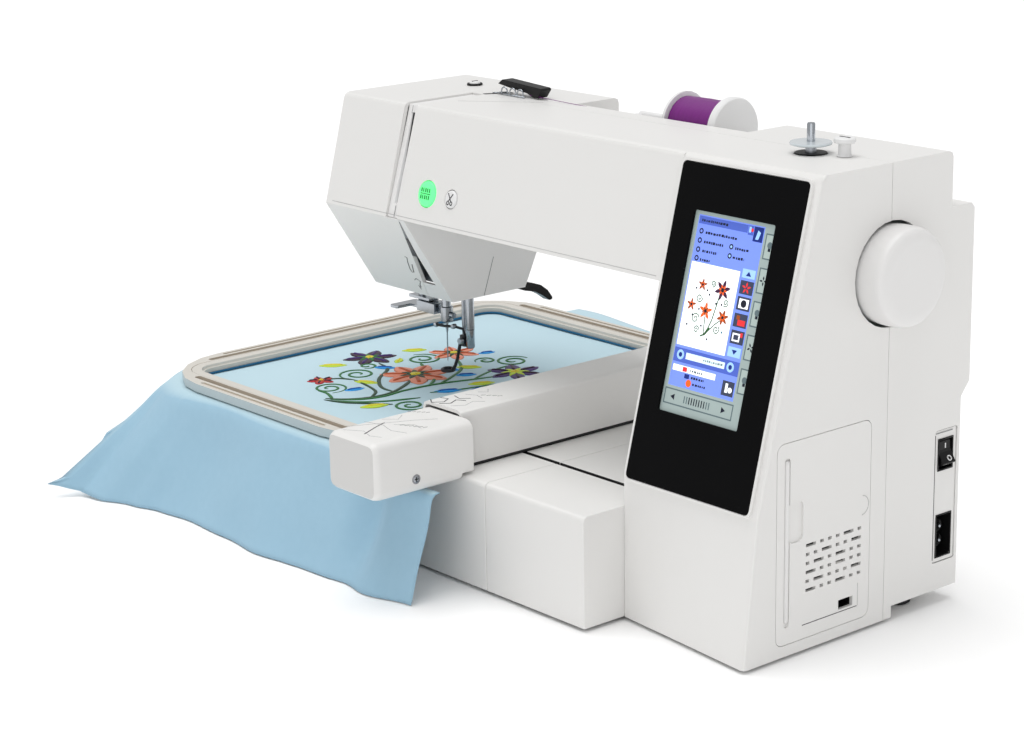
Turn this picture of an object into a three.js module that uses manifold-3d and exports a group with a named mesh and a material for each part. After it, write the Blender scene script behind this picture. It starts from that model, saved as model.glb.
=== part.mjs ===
// Computerised embroidery machine: free-standing body with a sewing arm, a
// wide bed, a sliding embroidery arm and a two-ring hoop that holds a cloth.
// Millimetres, +Z up, +X towards the handwheel, +Y towards the back.
import * as THREE from 'three';
import { mergeVertices } from 'three/addons/utils/BufferGeometryUtils.js';
import Module from 'manifold-3d';

const wasm = await Module();
wasm.setup();

// ---------------------------------------------------------------- dimensions
const FOOT = 2.5;            // rubber feet lift the covers off the table
const TOP = 304;             // top of the covers above their lower edge
const HEAD_L = -485.5;       // left end of the head
const COL_L = -120.5;        // left side of the column
const REAR = 188;            // back of arm and upper column
const SEAM = 129.6;          // front and rear covers meet here
const ARM_Z = 222.2;         // underside of the arm
const ARM_YF = 44.5;         // front lower edge of the arm
const TILT = 0.2637;         // lean of the front face, mm of Y per mm of Z
const WALL = 3;              // cover wall
const BED_Z = 77.2;          // top of the bed
const BED_YF = -24.4;        // front of the bed
const BED_L = -480;          // left end of the bed
const NOSE_Z = 153.2;        // underside of the head
const NOSE_R = -390.4;       // right side of the head below the arm
const NEEDLE = [-431, 115];  // needle axis
const PRESS = [-408, 119];   // presser bar axis
const SHAFT_Y = 131, SHAFT_Z = 232.5;   // upper shaft
const LOW_Y = 93.5, LOW_Z = 36;         // lower shaft
const MOTOR_Y = 92, MOTOR_Z = 92;       // main motor shaft
const WHEEL_R = 32.6;        // handwheel
const SPOOL_Y = 171, SPOOL_Z = 298;   // spool pin axis
const HOOP = { x: -453, y: 126.3, w: 236, l: 300.6, z0: 80.0, z1: 89 };
const ARM_X0 = -297, ARM_X1 = -254;     // embroidery arm
const ARM_YB = 330;          // back end of the embroidery arm
const G = 0.3;               // gap between touching pieces

// ------------------------------------------------------------------- helpers
const { Manifold, Mesh: MMesh } = wasm;
function solid(geometry) {
  let g = geometry.clone();
  g.deleteAttribute('normal');
  if (g.attributes.uv) g.deleteAttribute('uv');
  g = mergeVertices(g, 1e-4);
  const idx = g.index.array, pos = g.attributes.position.array;
  const tri = [];
  for (let i = 0; i < idx.length; i += 3) {
    const a = idx[i], b = idx[i + 1], c = idx[i + 2];
    if (a !== b && b !== c && a !== c) tri.push(a, b, c);
  }
  let vol = 0;                         // signed volume, so that faces can be turned outwards
  for (let i = 0; i < tri.length; i += 3) {
    const [p, q, r] = [0, 1, 2].map((k) => new THREE.Vector3().fromArray(pos, 3 * tri[i + k]));
    vol += p.dot(q.cross(r));
  }
  if (vol < 0) for (let i = 0; i < tri.length; i += 3) [tri[i + 1], tri[i + 2]] = [tri[i + 2], tri[i + 1]];
  return new Manifold(new MMesh({
    numProp: 3, vertProperties: new Float32Array(pos), triVerts: new Uint32Array(tri) }));
}
function geo(s) {
  const m = s.getMesh();
  const g = new THREE.BufferGeometry();
  g.setAttribute('position', new THREE.BufferAttribute(new Float32Array(m.vertProperties), 3));
  g.setIndex(new THREE.BufferAttribute(new Uint32Array(m.triVerts), 1));
  g.computeVertexNormals();
  return g;
}
const add = (...s) => s.slice(1).reduce((a, b) => a.add(b), s[0]);
const cut = (...s) => s.slice(1).reduce((a, b) => a.subtract(b), s[0]);
const mat4 = (x, y, z, t) => new THREE.Matrix4().makeBasis(
  new THREE.Vector3(...x), new THREE.Vector3(...y), new THREE.Vector3(...z)).setPosition(...t);

function box(x0, x1, y0, y1, z0, z1) {
  const g = new THREE.BoxGeometry(x1 - x0, y1 - y0, z1 - z0);
  g.translate((x0 + x1) / 2, (y0 + y1) / 2, (z0 + z1) / 2);
  return solid(g);
}
function shapeOf(pts, holes = []) {
  const s = new THREE.Shape(pts.map((p) => new THREE.Vector2(p[0], p[1])));
  for (const h of holes) s.holes.push(new THREE.Path(h.map((p) => new THREE.Vector2(p[0], p[1]))));
  return s;
}
function extrude(pts, depth, holes, bevel) {
  const o = bevel
    ? { depth: depth - 2 * bevel.t, steps: 1, bevelEnabled: true, bevelThickness: bevel.t,
      bevelSize: bevel.s ?? bevel.t, bevelOffset: -(bevel.s ?? bevel.t), bevelSegments: bevel.n ?? 3 }
    : { depth, steps: 1, bevelEnabled: false };
  const g = new THREE.ExtrudeGeometry(shapeOf(pts, holes), o);
  if (bevel) g.translate(0, 0, bevel.t);
  return g;
}
// polygon in (y, z), extruded along x
function prismX(pts, x0, x1, holes, bevel) {
  const g = extrude(pts, x1 - x0, holes, bevel);
  g.applyMatrix4(mat4([0, 1, 0], [0, 0, 1], [1, 0, 0], [x0, 0, 0]));
  return solid(g);
}
// polygon in (x, z), extruded along y
function prismY(pts, y0, y1, holes, bevel) {
  const g = extrude(pts, y1 - y0, holes, bevel);
  g.applyMatrix4(mat4([1, 0, 0], [0, 0, 1], [0, -1, 0], [0, y1, 0]));
  return solid(g);
}
// polygon in (x, y), extruded along z
function prismZ(pts, z0, z1, holes, bevel) {
  const g = extrude(pts, z1 - z0, holes, bevel);
  g.translate(0, 0, z0);
  return solid(g);
}
function rect(x0, x1, y0, y1, r = 0, n = 3) {
  if (!r) return [[x0, y0], [x1, y0], [x1, y1], [x0, y1]];
  const p = [];
  const arc = (cx, cy, a) => {
    for (let i = 0; i <= n; i++) {
      const t = a + (Math.PI / 2) * (i / n);
      p.push([cx + r * Math.cos(t), cy + r * Math.sin(t)]);
    }
  };
  arc(x1 - r, y0 + r, -Math.PI / 2); arc(x1 - r, y1 - r, 0);
  arc(x0 + r, y1 - r, Math.PI / 2); arc(x0 + r, y0 + r, Math.PI);
  return p;
}
function cyl(axis, a0, a1, u, v, r, seg = 24, r2 = r) {
  const g = new THREE.CylinderGeometry(r2, r, a1 - a0, seg);   // along +Y, r at the low end
  g.translate(0, (a0 + a1) / 2, 0);
  if (axis === 'x') g.applyMatrix4(mat4([0, 0, 1], [1, 0, 0], [0, 1, 0], [0, u, v]));
  if (axis === 'y') g.translate(u, 0, v);
  if (axis === 'z') g.applyMatrix4(mat4([0, 1, 0], [0, 0, 1], [1, 0, 0], [u, v, 0]));
  return solid(g);
}
// profile of [radius, height] turned about an axis
function turn(axis, pts, u, v, seg = 32) {
  const g = new THREE.LatheGeometry(pts.map((p) => new THREE.Vector2(p[0], p[1])), seg);
  if (axis === 'x') g.applyMatrix4(mat4([0, 0, 1], [1, 0, 0], [0, 1, 0], [0, u, v]));
  if (axis === 'y') g.translate(u, 0, v);
  if (axis === 'z') g.applyMatrix4(mat4([0, 1, 0], [0, 0, 1], [1, 0, 0], [u, v, 0]));
  return solid(g);
}
function tube(points, r, sides = 10, steps = 24) {
  const curve = new THREE.CatmullRomCurve3(points.map((p) => new THREE.Vector3(...p)));
  const sh = [];
  for (let i = 0; i < sides; i++) sh.push([r * Math.cos(2 * Math.PI * i / sides), r * Math.sin(2 * Math.PI * i / sides)]);
  return solid(new THREE.ExtrudeGeometry(shapeOf(sh), { steps, bevelEnabled: false, extrudePath: curve }));
}
// skin through plan outlines [[x, y], ...] at rising heights, all with the same count
function loft(levels) {
  const n = levels[0].pts.length, v = [], t = [];
  for (const l of levels) for (const p of l.pts) v.push(p[0], p[1], l.z);
  for (let k = 0; k < levels.length - 1; k++) {
    for (let i = 0; i < n; i++) {
      const a = k * n + i, b = k * n + (i + 1) % n, c = a + n, d = b + n;
      t.push(a, b, d, a, d, c);
    }
  }
  const cap = (k, up) => {
    const f = THREE.ShapeUtils.triangulateShape(levels[k].pts.map((p) => new THREE.Vector2(...p)), []);
    for (const [a, b, c] of f) up ? t.push(k * n + a, k * n + b, k * n + c) : t.push(k * n + a, k * n + c, k * n + b);
  };
  cap(0, false); cap(levels.length - 1, true);
  const g = new THREE.BufferGeometry();
  g.setAttribute('position', new THREE.BufferAttribute(new Float32Array(v), 3));
  g.setIndex(t);
  return solid(g);
}

const root = new THREE.Group();
function node(name, s, color, roughness = 0.5, metalness = 0, parent = root) {
  const m = new THREE.Mesh(geo(s), new THREE.MeshStandardMaterial({ color, roughness, metalness }));
  m.name = name;
  parent.add(m);
  return m;
}
const WHITE = 0xe9e8e6, BLACK = 0x101011, STEEL = 0xb9bcc0, CHROME = 0xd6d8da, GREY = 0x8d9094;
const yFront = (z) => ARM_YF + (z - ARM_Z) * TILT;

// ------------------------------------------------------------ base and feet
node('base_pan', prismZ([[-476.6, BED_YF + 3.5], [-124.4, BED_YF + 3.5], [-124.4, 62], [-117, 62], [-117, 15.4], [-4, 5], [-3.6, 133.6], [-117, 133.6], [-117, 118], [-124.4, 118], [-124.4, 184.4], [-476.6, 184.4]], 1.6, 6), 0xdcdbd9, 0.6);
const foot = (x, y) => turn('z', [[0, -FOOT], [8, -FOOT], [9.5, -FOOT + 1], [9.5, 1.3], [0, 1.3]], x, y, 20);
node('foot_front_left', foot(-460, -4), 0x3a3a3c, 0.9);
node('foot_front_right', foot(-22, 24), 0x3a3a3c, 0.9);
node('foot_rear_left', foot(-460, 168), 0x3a3a3c, 0.9);
node('foot_rear_right', foot(-22, 168), 0x3a3a3c, 0.9);

// ----------------------------------------------------------------------- bed
const XSLOT = box(-402, -128, 39.6, 43.4, 60, 90);
const plateHole = prismZ(rect(-470, -398, 84, 160, 4), 60, 90);
const coverHole = prismZ(rect(-462, -402, 48, 78, 3), 60, 90);
const SX = -220.2;
const bedBlock = prismX([[BED_YF, 0], [BED_YF, BED_Z - 4], [BED_YF + 1.2, BED_Z - 1.2], [BED_YF + 4, BED_Z], [REAR - 4, BED_Z], [REAR - 1.2, BED_Z - 1.2], [REAR, BED_Z - 4], [REAR, 0]].reverse(), BED_L, COL_L - G);
node('bed_cover_left', cut(bedBlock, box(SX - 0.2, 0, -60, 260, -9, 99),
  box(BED_L + WALL, 0, BED_YF + WALL, REAR - WALL, -9, BED_Z - WALL), XSLOT, plateHole, coverHole), WHITE, 0.42);
node('bed_cover_right', cut(bedBlock, box(-600, SX + 0.2, -60, 260, -9, 99),
  box(-600, COL_L - G - WALL, BED_YF + WALL, REAR - WALL, -9, BED_Z - WALL), XSLOT,
  box(-130, -110, 60, 120, -9, 60), box(-130, -110, 30, 52, -9, 60)), WHITE, 0.42);
node('needle_plate', cut(prismZ(rect(-469.6, -398.4, 84.4, 159.6, 3.7), BED_Z - 2.4, BED_Z),
  cyl('z', 70, 80, NEEDLE[0], NEEDLE[1], 2.4, 16), box(-414, -405, 110, 116, 70, 80)), STEEL, 0.28, 0.9);
node('bobbin_cover', cut(prismZ(rect(-461.6, -402.4, 48.4, 77.6, 2.7), BED_Z - 2.4, BED_Z),
  prismZ(rect(-452, -436, 52, 55, 1.2), BED_Z - 1, 99)), 0xd8dadb, 0.15);
// metal casting under the bed: tray rail, posts for the plates, bearings
node('bed_frame', cut(add(box(-468, -126, 62, 72, 8, 22), box(-468, -126, 150, 160, 8, 22), box(-468, -456, 62, 160, 8, 22),
  box(-146, -134, 25, 160, 8, 22), box(-468, -456, 25, 72, 8, 22),
  box(-468, -462.5, 86, 158, 8, BED_Z - 2.7), box(-405, -399.5, 124, 158, 8, BED_Z - 2.7), box(-405, -399.5, 120, 160, 8, 22),
  box(-405, -399.5, 150, 160, 8, 22), box(-468, -458, 34, 49, 8, 58), box(-146, -136, 34, 49, 8, 58), box(-384, -374, 62, 104, 8, 50),
  box(-405, -374, 150, 160, 8, 22)),
cyl('x', -500, -100, 41.5, 42, 4.4, 12), cyl('x', -390, -370, LOW_Y, LOW_Z, 4.7, 12)), GREY, 0.5, 0.7);
// horizontal rotary hook, its basket and the bobbin
const HK = [NEEDLE[0], LOW_Y];
node('hook', turn('z', [[0, 44], [5, 44], [5, 49], [19, 49], [19, 66], [16.6, 66], [16.6, 52], [0, 52]], HK[0], HK[1], 20), STEEL, 0.25, 0.95);
node('bobbin', turn('z', [[3.2, 56], [10.6, 56], [10.6, 57.2], [6, 57.2], [6, 65.8], [10.6, 65.8], [10.6, 67], [3.2, 67], [3.2, 56]], HK[0], HK[1], 16), 0xcfe3ea, 0.15);
node('lower_shaft', add(cyl('x', -432, -70, LOW_Y, LOW_Z, 4.2, 16), cyl('x', -429, -421, LOW_Y, LOW_Z, 7.5, 18), cyl('x', -96, -86, LOW_Y, LOW_Z, 12, 16)), STEEL, 0.3, 0.95);

// -------------------------------------------------------------------- column
const colLevel = (z, yl, yr) => ({ z, pts: [[COL_L, yl], [-60, (yl + yr) / 2], [-3, yr], [-0.9, yr + 0.9], [0, yr + 3], [0, SEAM - 0.2], [COL_L, SEAM - 0.2]] });
const colIn = (z, yl, yr) => ({ z, pts: [[COL_L + WALL, yl], [-60, (yl + yr) / 2], [-6, yr], [-3.9, yr + 0.9], [-3, yr + 3], [-3, SEAM + 20], [COL_L + WALL, SEAM + 20]] });
const yb = yFront(97);
const colOut = loft([colLevel(0, 11.2, 0), colLevel(97, yb, yb), colLevel(TOP - 4, yFront(TOP - 4), yFront(TOP - 4)), colLevel(TOP, yFront(TOP - 4) + 4, yFront(TOP - 4) + 4)]);
const colInner = loft([colIn(-3, 14.6, 3.2), colIn(97, yb + 3.2, yb + 3.2), colIn(TOP - WALL, yFront(TOP) + 3.2, yFront(TOP) + 3.2)]);
// frame on the leaning front face: local y points into the machine, local z up the slope
const lean = Math.atan(TILT);
const onFront = (s) => {
  const g = geo(s);
  g.applyMatrix4(new THREE.Matrix4().makeRotationX(-lean).setPosition(0, ARM_YF, ARM_Z));
  return solid(g);
};
const PANEL = { x0: -117.4, x1: -7.2, z0: -129, z1: 79.6 };
const LCD = { x0: -99.8, x1: -28.8, z0: -80.2, z1: 49.8 };
const lcdHole = onFront(box(LCD.x0 - 6, LCD.x1 + 6, -9, 14, LCD.z0 - 6, LCD.z1 + 6));
const wheelHole = cyl('x', -20, 30, SHAFT_Y, SHAFT_Z, WHEEL_R + 2, 28);
const PAN = { y0: 28, y1: 115, z0: 7.5, z1: 141 };
const panelHole = prismX(rect(PAN.y0, PAN.y1, PAN.z0, PAN.z1, 6), -10, 9);
const armMouth = prismX([[60, 225.6], [74, 298], [184, 298], [184, 225.6]], -140, -110);
const bedMouth = box(-140, -110, 30, 178, -9, 60);
const bezel = onFront(cut(prismY(rect(PANEL.x0 - 2, PANEL.x1 + 2, PANEL.z0 - 2, PANEL.z1 + 2, 5), -1.9, 1),
  prismY(rect(PANEL.x0 - 0.2, PANEL.x1 + 0.2, PANEL.z0 - 0.2, PANEL.z1 + 0.2, 3.2), -9, 9)));
node('column_front_cover', cut(add(colOut, bezel), colInner, lcdHole, wheelHole, panelHole, armMouth, bedMouth,
  cyl('z', 290, 320, -58.6, 118, 11, 24)), WHITE, 0.42);
const rearPts = [[SEAM + 0.2, 0], [137.4, 0], [137.4, 8], [202.3, 8], [202.3, 138], [210.6, 148], [210.6, 264], [207.6, 267.4], [REAR, 267.4], [REAR, TOP - 4], [REAR - 1.2, TOP - 1.2], [REAR - 4, TOP], [SEAM + 0.2, TOP]];
const rearIn = [[120, -3], [134.2, -3], [134.2, 11], [199.3, 11], [199.3, 139], [207.6, 149], [207.6, 264.3], [185, 264.3], [185, 301], [120, 301]];
const SW = { y0: 177.5, y1: 200, z0: 27, z1: 119 };
node('column_rear_cover', cut(prismX(rearPts, COL_L, 0), prismX(rearIn, COL_L + WALL, -WALL), wheelHole, armMouth, bedMouth,
  prismX(rect(SW.y0, SW.y1, SW.z0, SW.z1, 2), -9, 9)), WHITE, 0.42);
// access panel on the right side: pen groove, finger scoop, air slots, USB port
let side = prismX(rect(PAN.y0 + 0.4, PAN.y1 - 0.4, PAN.z0 + 0.4, PAN.z1 - 0.4, 5.6), -2.6, 0);
side = cut(side, prismX(rect(35.2, 40.2, 19, 131, 2.4, 2), -1.3, 5), prismX(rect(39, 52.5, 74, 101, 4, 2), -1.5, 5));
const rows = ['L s s s L s', 's s L s s L', 's L s L s s', 'L s s L s s', 's L s s s L', 'L s s L s s'];
rows.forEach((row, i) => {
  let y = 55.2;
  for (const c of row.split(' ')) {
    const w = c === 'L' ? 9.2 : 3.4;
    side = cut(side, box(-9, 9, y, y + w, 69.6 - i * 6 - 1.1, 69.6 - i * 6 + 1.1));
    y += w + 3.9;
  }
});
side = cut(side, box(-9, 9, 86, 99.6, 18.6, 25.2));
node('side_panel', side, WHITE, 0.45);
node('usb_socket', cut(box(-19, -3, 85, 100.6, 17.6, 26.2), box(-16, 0, 86.2, 99.4, 18.8, 25)), 0x1a1a1b, 0.4, 0.2);
// mains inlet plate, its two pins and the rocker switch
node('inlet_plate', add(cut(prismX(rect(SW.y0 + 0.4, SW.y1 - 0.4, SW.z0 + 0.4, SW.z1 - 0.4, 1.8), -4, -0.6),
  prismX(rect(181.4, 196, 91, 112.4, 1), -9, 9), prismX(rect(181.2, 195.8, 30.8, 59.8, 2), -9, 9)),
cut(prismX(rect(180, 197, 29.6, 61, 2.2), -24, -3.9), prismX(rect(181.2, 195.8, 30.8, 59.8, 2), -20, 9)),
cut(prismX(rect(180.2, 197.2, 90, 113.4, 1), -20, -3.9), prismX(rect(181.4, 196, 91, 112.4, 1), -30, 9))), 0x17171a, 0.45);
node('inlet_pins', add(cyl('x', -19.2, -7, 188.5, 50.6, 1.2, 12), cyl('x', -19.2, -7, 188.5, 40.6, 1.2, 12), box(-19.7, -18.9, 186.5, 190.5, 38, 53)), CHROME, 0.2, 1);
const RK = [188.7, 101.7];
node('power_rocker', prismX([[-6.4, -9], [6.4, -9], [6.4, 9], [-6.4, 9]].map(([a, b]) => [RK[0] + a, RK[1] + b]), -9, -1.9)
  .subtract(box(-4, 5, 150, 220, RK[1] + 3, 130))
  .add(prismY([[-4.2, RK[1] + 2.8], [-4.2, RK[1] + 8.9], [-1.6, RK[1] + 8.9], [-0.8, RK[1] + 1], [3.2, RK[1] - 8.9], [-2.2, RK[1] - 8.9], [-2.2, RK[1] + 2.8]].reverse(), RK[0] - 6.4, RK[0] + 6.4)), BLACK, 0.3);

// panel on the leaning face
node('panel_glass', onFront(cut(prismY(rect(PANEL.x0 + 0.2, PANEL.x1 - 0.2, PANEL.z0 + 0.2, PANEL.z1 - 0.2, 2.8), -2.5, -0.3),
  prismY(rect(LCD.x0, LCD.x1, LCD.z0, LCD.z1, 0.8, 1), -9, 9))), 0x0b0b0c, 0.06);
node('lcd_module', onFront(box(LCD.x0 - 4, LCD.x1 + 4, 0, 8, LCD.z0 - 4, LCD.z1 + 4)), 0x8ea2d8, 0.2);

// ----------------------------------------------------------- arm and head
const armFrontPts = [[ARM_YF, ARM_Z], [ARM_YF + 0.9, ARM_Z + 3.4], [yFront(TOP - 4), TOP - 4], [yFront(TOP - 1.2) + 0.9, TOP - 1.2], [yFront(TOP) + 4, TOP], [SEAM - 0.2, TOP], [SEAM - 0.2, ARM_Z]];
const armFrontIn = [[ARM_YF + 4.2, ARM_Z + WALL], [yFront(TOP) + 2.4, TOP - WALL], [SEAM + 9, TOP - WALL], [SEAM + 9, ARM_Z + WALL]];
const startHole = onFront(cyl('y', -20, 20, -368.7, 22.7, 10.1, 28));
const cutHole = onFront(cyl('y', -20, 20, -341.3, 22.5, 7.1, 24));
node('arm_front_cover', cut(prismX(armFrontPts, -398, COL_L - G), prismX(armFrontIn, -500, 0), startHole, cutHole), WHITE, 0.42);
const tray = { x0: -314, x1: -142, y0: 146.5, z0: 272 };
node('arm_rear_cover', cut(add(cut(prismX([[SEAM + 0.2, ARM_Z], [SEAM + 0.2, TOP], [REAR - 4, TOP], [REAR - 1.2, TOP - 1.2], [REAR, TOP - 4], [REAR, ARM_Z + 4], [REAR - 1.2, ARM_Z + 1.2], [REAR - 4, ARM_Z]].reverse(), -411.4, COL_L - G),
  box(-500, 0, 100, REAR - WALL, ARM_Z + WALL, TOP - WALL)), box(tray.x0 - 3, tray.x1 + 3, tray.y0 - 3, REAR - 1, tray.z0 - 3, TOP - 1)),
box(tray.x0, tray.x1, tray.y0, 300, tray.z0, 400)), WHITE, 0.42);
node('spool_pin', add(cyl('x', -270, -143.5, SPOOL_Y, SPOOL_Z, 3, 16), box(-274, -268, SPOOL_Y - 6, SPOOL_Y + 6, tray.z0 + G, SPOOL_Z + 5)), 0xe4e4e2, 0.4);
// recessed strip the upper thread runs down, with the lever slot
node('thread_channel', cut(prismX([[ARM_YF + 1.6, ARM_Z], [yFront(TOP) + 4, TOP - 1.4], [SEAM - 0.2, TOP - 1.4], [SEAM - 0.2, ARM_Z]].reverse(), -411.6, -398.4),
  prismX([[ARM_YF + 5, ARM_Z - 5], [yFront(TOP) + 4.4, TOP - WALL - 1], [SEAM + 9, TOP - WALL - 1], [SEAM + 9, ARM_Z - 5]], -500, 0),
  box(-406.6, -403.4, 0, 92, 232, 297)), 0xdedddb, 0.45);
// head profile below and beside the arm
const nosePts = [[ARM_YF, ARM_Z], [89, NOSE_Z], [160, NOSE_Z], [REAR, 212], [REAR, ARM_Z]];
const facePts = [[89, NOSE_Z], [160, NOSE_Z], [REAR, 212], [REAR, TOP - 4], [REAR - 1.2, TOP - 1.2], [REAR - 4, TOP], [yFront(TOP) + 4, TOP], [yFront(TOP - 1.2) + 0.9, TOP - 1.2], [yFront(TOP - 4), TOP - 4], [ARM_YF, ARM_Z]];
const faceIn = [[90.6, NOSE_Z + WALL], [158, NOSE_Z + WALL], [REAR - WALL, 213], [REAR - WALL, TOP - WALL], [yFront(TOP) + 3, TOP - WALL], [ARM_YF + 3.2, ARM_Z]];
const wedge = prismY([[-397, ARM_Z], [-420.2, NOSE_Z - 1], [-600, NOSE_Z - 1], [-600, ARM_Z]].reverse(), 0, 260);   // left of the slanting seam
const footHole = prismZ(rect(-474, -399, 96, 142, 8), 140, 160);
const rightOfSeam = prismY([[-397, ARM_Z], [-420.2, NOSE_Z - 1], [-300, NOSE_Z - 1], [-300, ARM_Z]], 0, 260);
node('face_plate', cut(add(prismX(facePts, HEAD_L, -411.8).subtract(rightOfSeam), cut(prismX([...nosePts].reverse(), -412, NOSE_R).intersect(wedge), box(-500, -390, 0, 300, ARM_Z - G, 400))),
  prismX(faceIn, HEAD_L + WALL, -300), footHole, prismZ(rect(-474, -399, 96, 142, 8), 120, 158)), WHITE, 0.42);
node('nose_cover', cut(prismX([...nosePts].reverse(), -421, NOSE_R), wedge.translate([0.4, 0, 0]), box(-500, -300, 0, 300, ARM_Z - G, 300),
  prismX(faceIn, -500, NOSE_R - WALL), footHole,
  prismY([[-400.6, 190], [-400.6, 166], [-440, 166], [-440, 190]].reverse(), 40, 96), box(-406, -393.6, 132.5, 178, 140, 186)), 0xe2e1df, 0.42);

// buttons
node('start_stop_button', onFront(turn('y', [[0, -1.6], [7.6, -1.4], [9, -0.6], [9.5, 0.6], [9.5, 5], [0, 5]].reverse(), -368.7, 22.7, 28)), 0x7dff9c, 0.3);
node('thread_cutter_button', onFront(turn('y', [[0, -1.2], [5.4, -1.1], [6.3, -0.4], [6.6, 0.6], [6.6, 5], [0, 5]].reverse(), -341.3, 22.5, 24)), 0xf0efed, 0.35);

// ------------------------------------------------------------- inner casting
node('main_frame', cut(add(box(-452, -104, 106, 140, 247.2, 264), box(-112, -104, 64, 160, 11.6, 264), box(-390, -382, 116, 140, 222.8 + 3, 252),
  box(-260, -252, 116, 140, 226, 252), box(-452, -446, 100, 140, 158, 264), box(-396, -391.5, 106, 140, 226, 264),
  box(-452, -416, 107, 123, 158, 165), box(-452, -396, 111, 140, 247.2, 252)),
cyl('x', -500, -90, SHAFT_Y, SHAFT_Z, 5.7, 12), cyl('x', -120, -90, LOW_Y, LOW_Z, 4.9, 12),
cyl('z', 100, 300, NEEDLE[0], NEEDLE[1], 4, 12), cyl('z', 100, 300, PRESS[0], PRESS[1], 4, 12),
box(-409.8, -400.2, 90, 150, 253, 300)), GREY, 0.5, 0.7);
// ------------------------------------------------------- main drive, turning
node('handwheel', turn('x', [[0, -9], [WHEEL_R - 3, -9], [WHEEL_R - 0.6, -6], [WHEEL_R, 4], [WHEEL_R, 13], [WHEEL_R - 1.3, 16.8], [WHEEL_R - 4.5, 19.2], [WHEEL_R - 10, 20], [0, 20.2]].reverse(), SHAFT_Y, SHAFT_Z, 32), 0xeceae8, 0.35);
node('upper_shaft', add(cyl('x', -430, -9.3, SHAFT_Y, SHAFT_Z, 5.2, 16), cyl('x', -98, -88, SHAFT_Y, SHAFT_Z, 12, 16), cyl('x', -40, -28, SHAFT_Y, SHAFT_Z, 26, 24),
  cyl('x', -436, -428.3, SHAFT_Y, SHAFT_Z, 12, 20), cyl('x', -440, -435, SHAFT_Y, SHAFT_Z + 8, 2.5, 12)), STEEL, 0.3, 0.95);
node('main_motor', add(cyl('x', -96, -48, MOTOR_Y, MOTOR_Z, 24, 20), cyl('x', -48.5, -44, MOTOR_Y, MOTOR_Z, 9, 20), box(-104 + G, -95, 80, 104, 76, 108)), 0x2a2a2d, 0.5, 0.4);
node('motor_pulley', add(cyl('x', -41, -27, MOTOR_Y, MOTOR_Z, 8, 20), cyl('x', -43.6, -41, MOTOR_Y, MOTOR_Z, 3, 12)), STEEL, 0.35, 0.9);

// --------------------------------------------------------------- needle group
node('needle_bar', add(cyl('z', 139, 286, NEEDLE[0], NEEDLE[1], 3.5, 18), cyl('z', 205, 212, NEEDLE[0], NEEDLE[1], 6, 16)), CHROME, 0.15, 1);
node('needle_clamp', cut(add(cyl('z', 127.6, 138.7, NEEDLE[0], NEEDLE[1], 5, 20), cyl('x', NEEDLE[0] + 3, NEEDLE[0] + 6, NEEDLE[1], 133, 1.5, 10),
  cyl('x', NEEDLE[0] + 5.4, NEEDLE[0] + 9, NEEDLE[1], 133, 2.4, 14)), cyl('z', 120, 136, NEEDLE[0], NEEDLE[1], 1.4, 12)), STEEL, 0.2, 1);
node('needle', turn('z', [[0, 95], [0.35, 97], [0.5, 100], [0.55, 118], [1.1, 121], [1.1, 135.7], [0, 135.7]], NEEDLE[0], NEEDLE[1], 12), CHROME, 0.12, 1);
node('presser_bar', add(cyl('z', 124.3, 262, PRESS[0], PRESS[1], 3.4, 16), cyl('z', 186, 192, PRESS[0], PRESS[1], 6, 16), box(PRESS[0] - 2, PRESS[0] + 12, PRESS[1] + 2, PRESS[1] + 8, 186, 190)), CHROME, 0.15, 1);
// free-motion foot: shank on the bar, leg, and a ring round the needle
node('embroidery_foot', cut(add(box(PRESS[0] - 4.4, PRESS[0] + 4.4, PRESS[1] - 4.6, PRESS[1] + 4.6, 108, 124),
  tube([[PRESS[0] - 3, PRESS[1] - 3, 111], [PRESS[0] - 8, PRESS[1] - 3.5, 106], [PRESS[0] - 11.5, PRESS[1] - 4, 101], [PRESS[0] - 16.5, PRESS[1] - 4, 96.6]], 1.3, 8, 8),
  cyl('z', 95.2, 97.4, NEEDLE[0], NEEDLE[1], 7.2, 24)), cyl('z', 90, 99, NEEDLE[0], NEEDLE[1], 4.6, 24)), 0x1d1e20, 0.3, 0.5);
node('presser_lifter', add(prismX([[133, 176], [140, 173], [152, 162.6], [164, 155.6], [173.2, 153.2], [181, 150.4], [187.8, 145.4], [192.6, 139], [192.2, 137.2], [189.6, 136.8], [182.6, 141.8], [175, 146], [165, 148.4], [152, 153.4], [138, 166]].reverse(), -404, -396),
  cyl('x', -404, -396, 137, 173, 6, 16)), 0x141415, 0.35);
node('needle_threader', add(prismZ([[-481.4, 99.6], [-480, 98.4], [-473.4, 98.4], [-472, 99.6], [-472, 112], [-459, 112], [-459, 120], [-472, 124], [-480, 124], [-481.4, 122.6]], 132.4, 134.6), box(-472, -447, 110.5, 120, 140.4, 142.6), cyl('z', 142, 176, -462, 116, 3, 14), box(-460, -438.5, 108.5, 121.5, 132, 140), box(-462, -452, 112, 120, 139, 142)), STEEL, 0.25, 0.9);
// lever that rises and falls in the thread channel
node('take_up_lever', add(prismX([[127, 268.6], [133, 272], [131, 275], [90, 285], [77, 295], [72.6, 293], [76, 284], [88, 277.4]], -406, -404),
  cyl('x', -408.4, -401.6, 130, 271, 4.6, 14)), STEEL, 0.2, 1);

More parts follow.
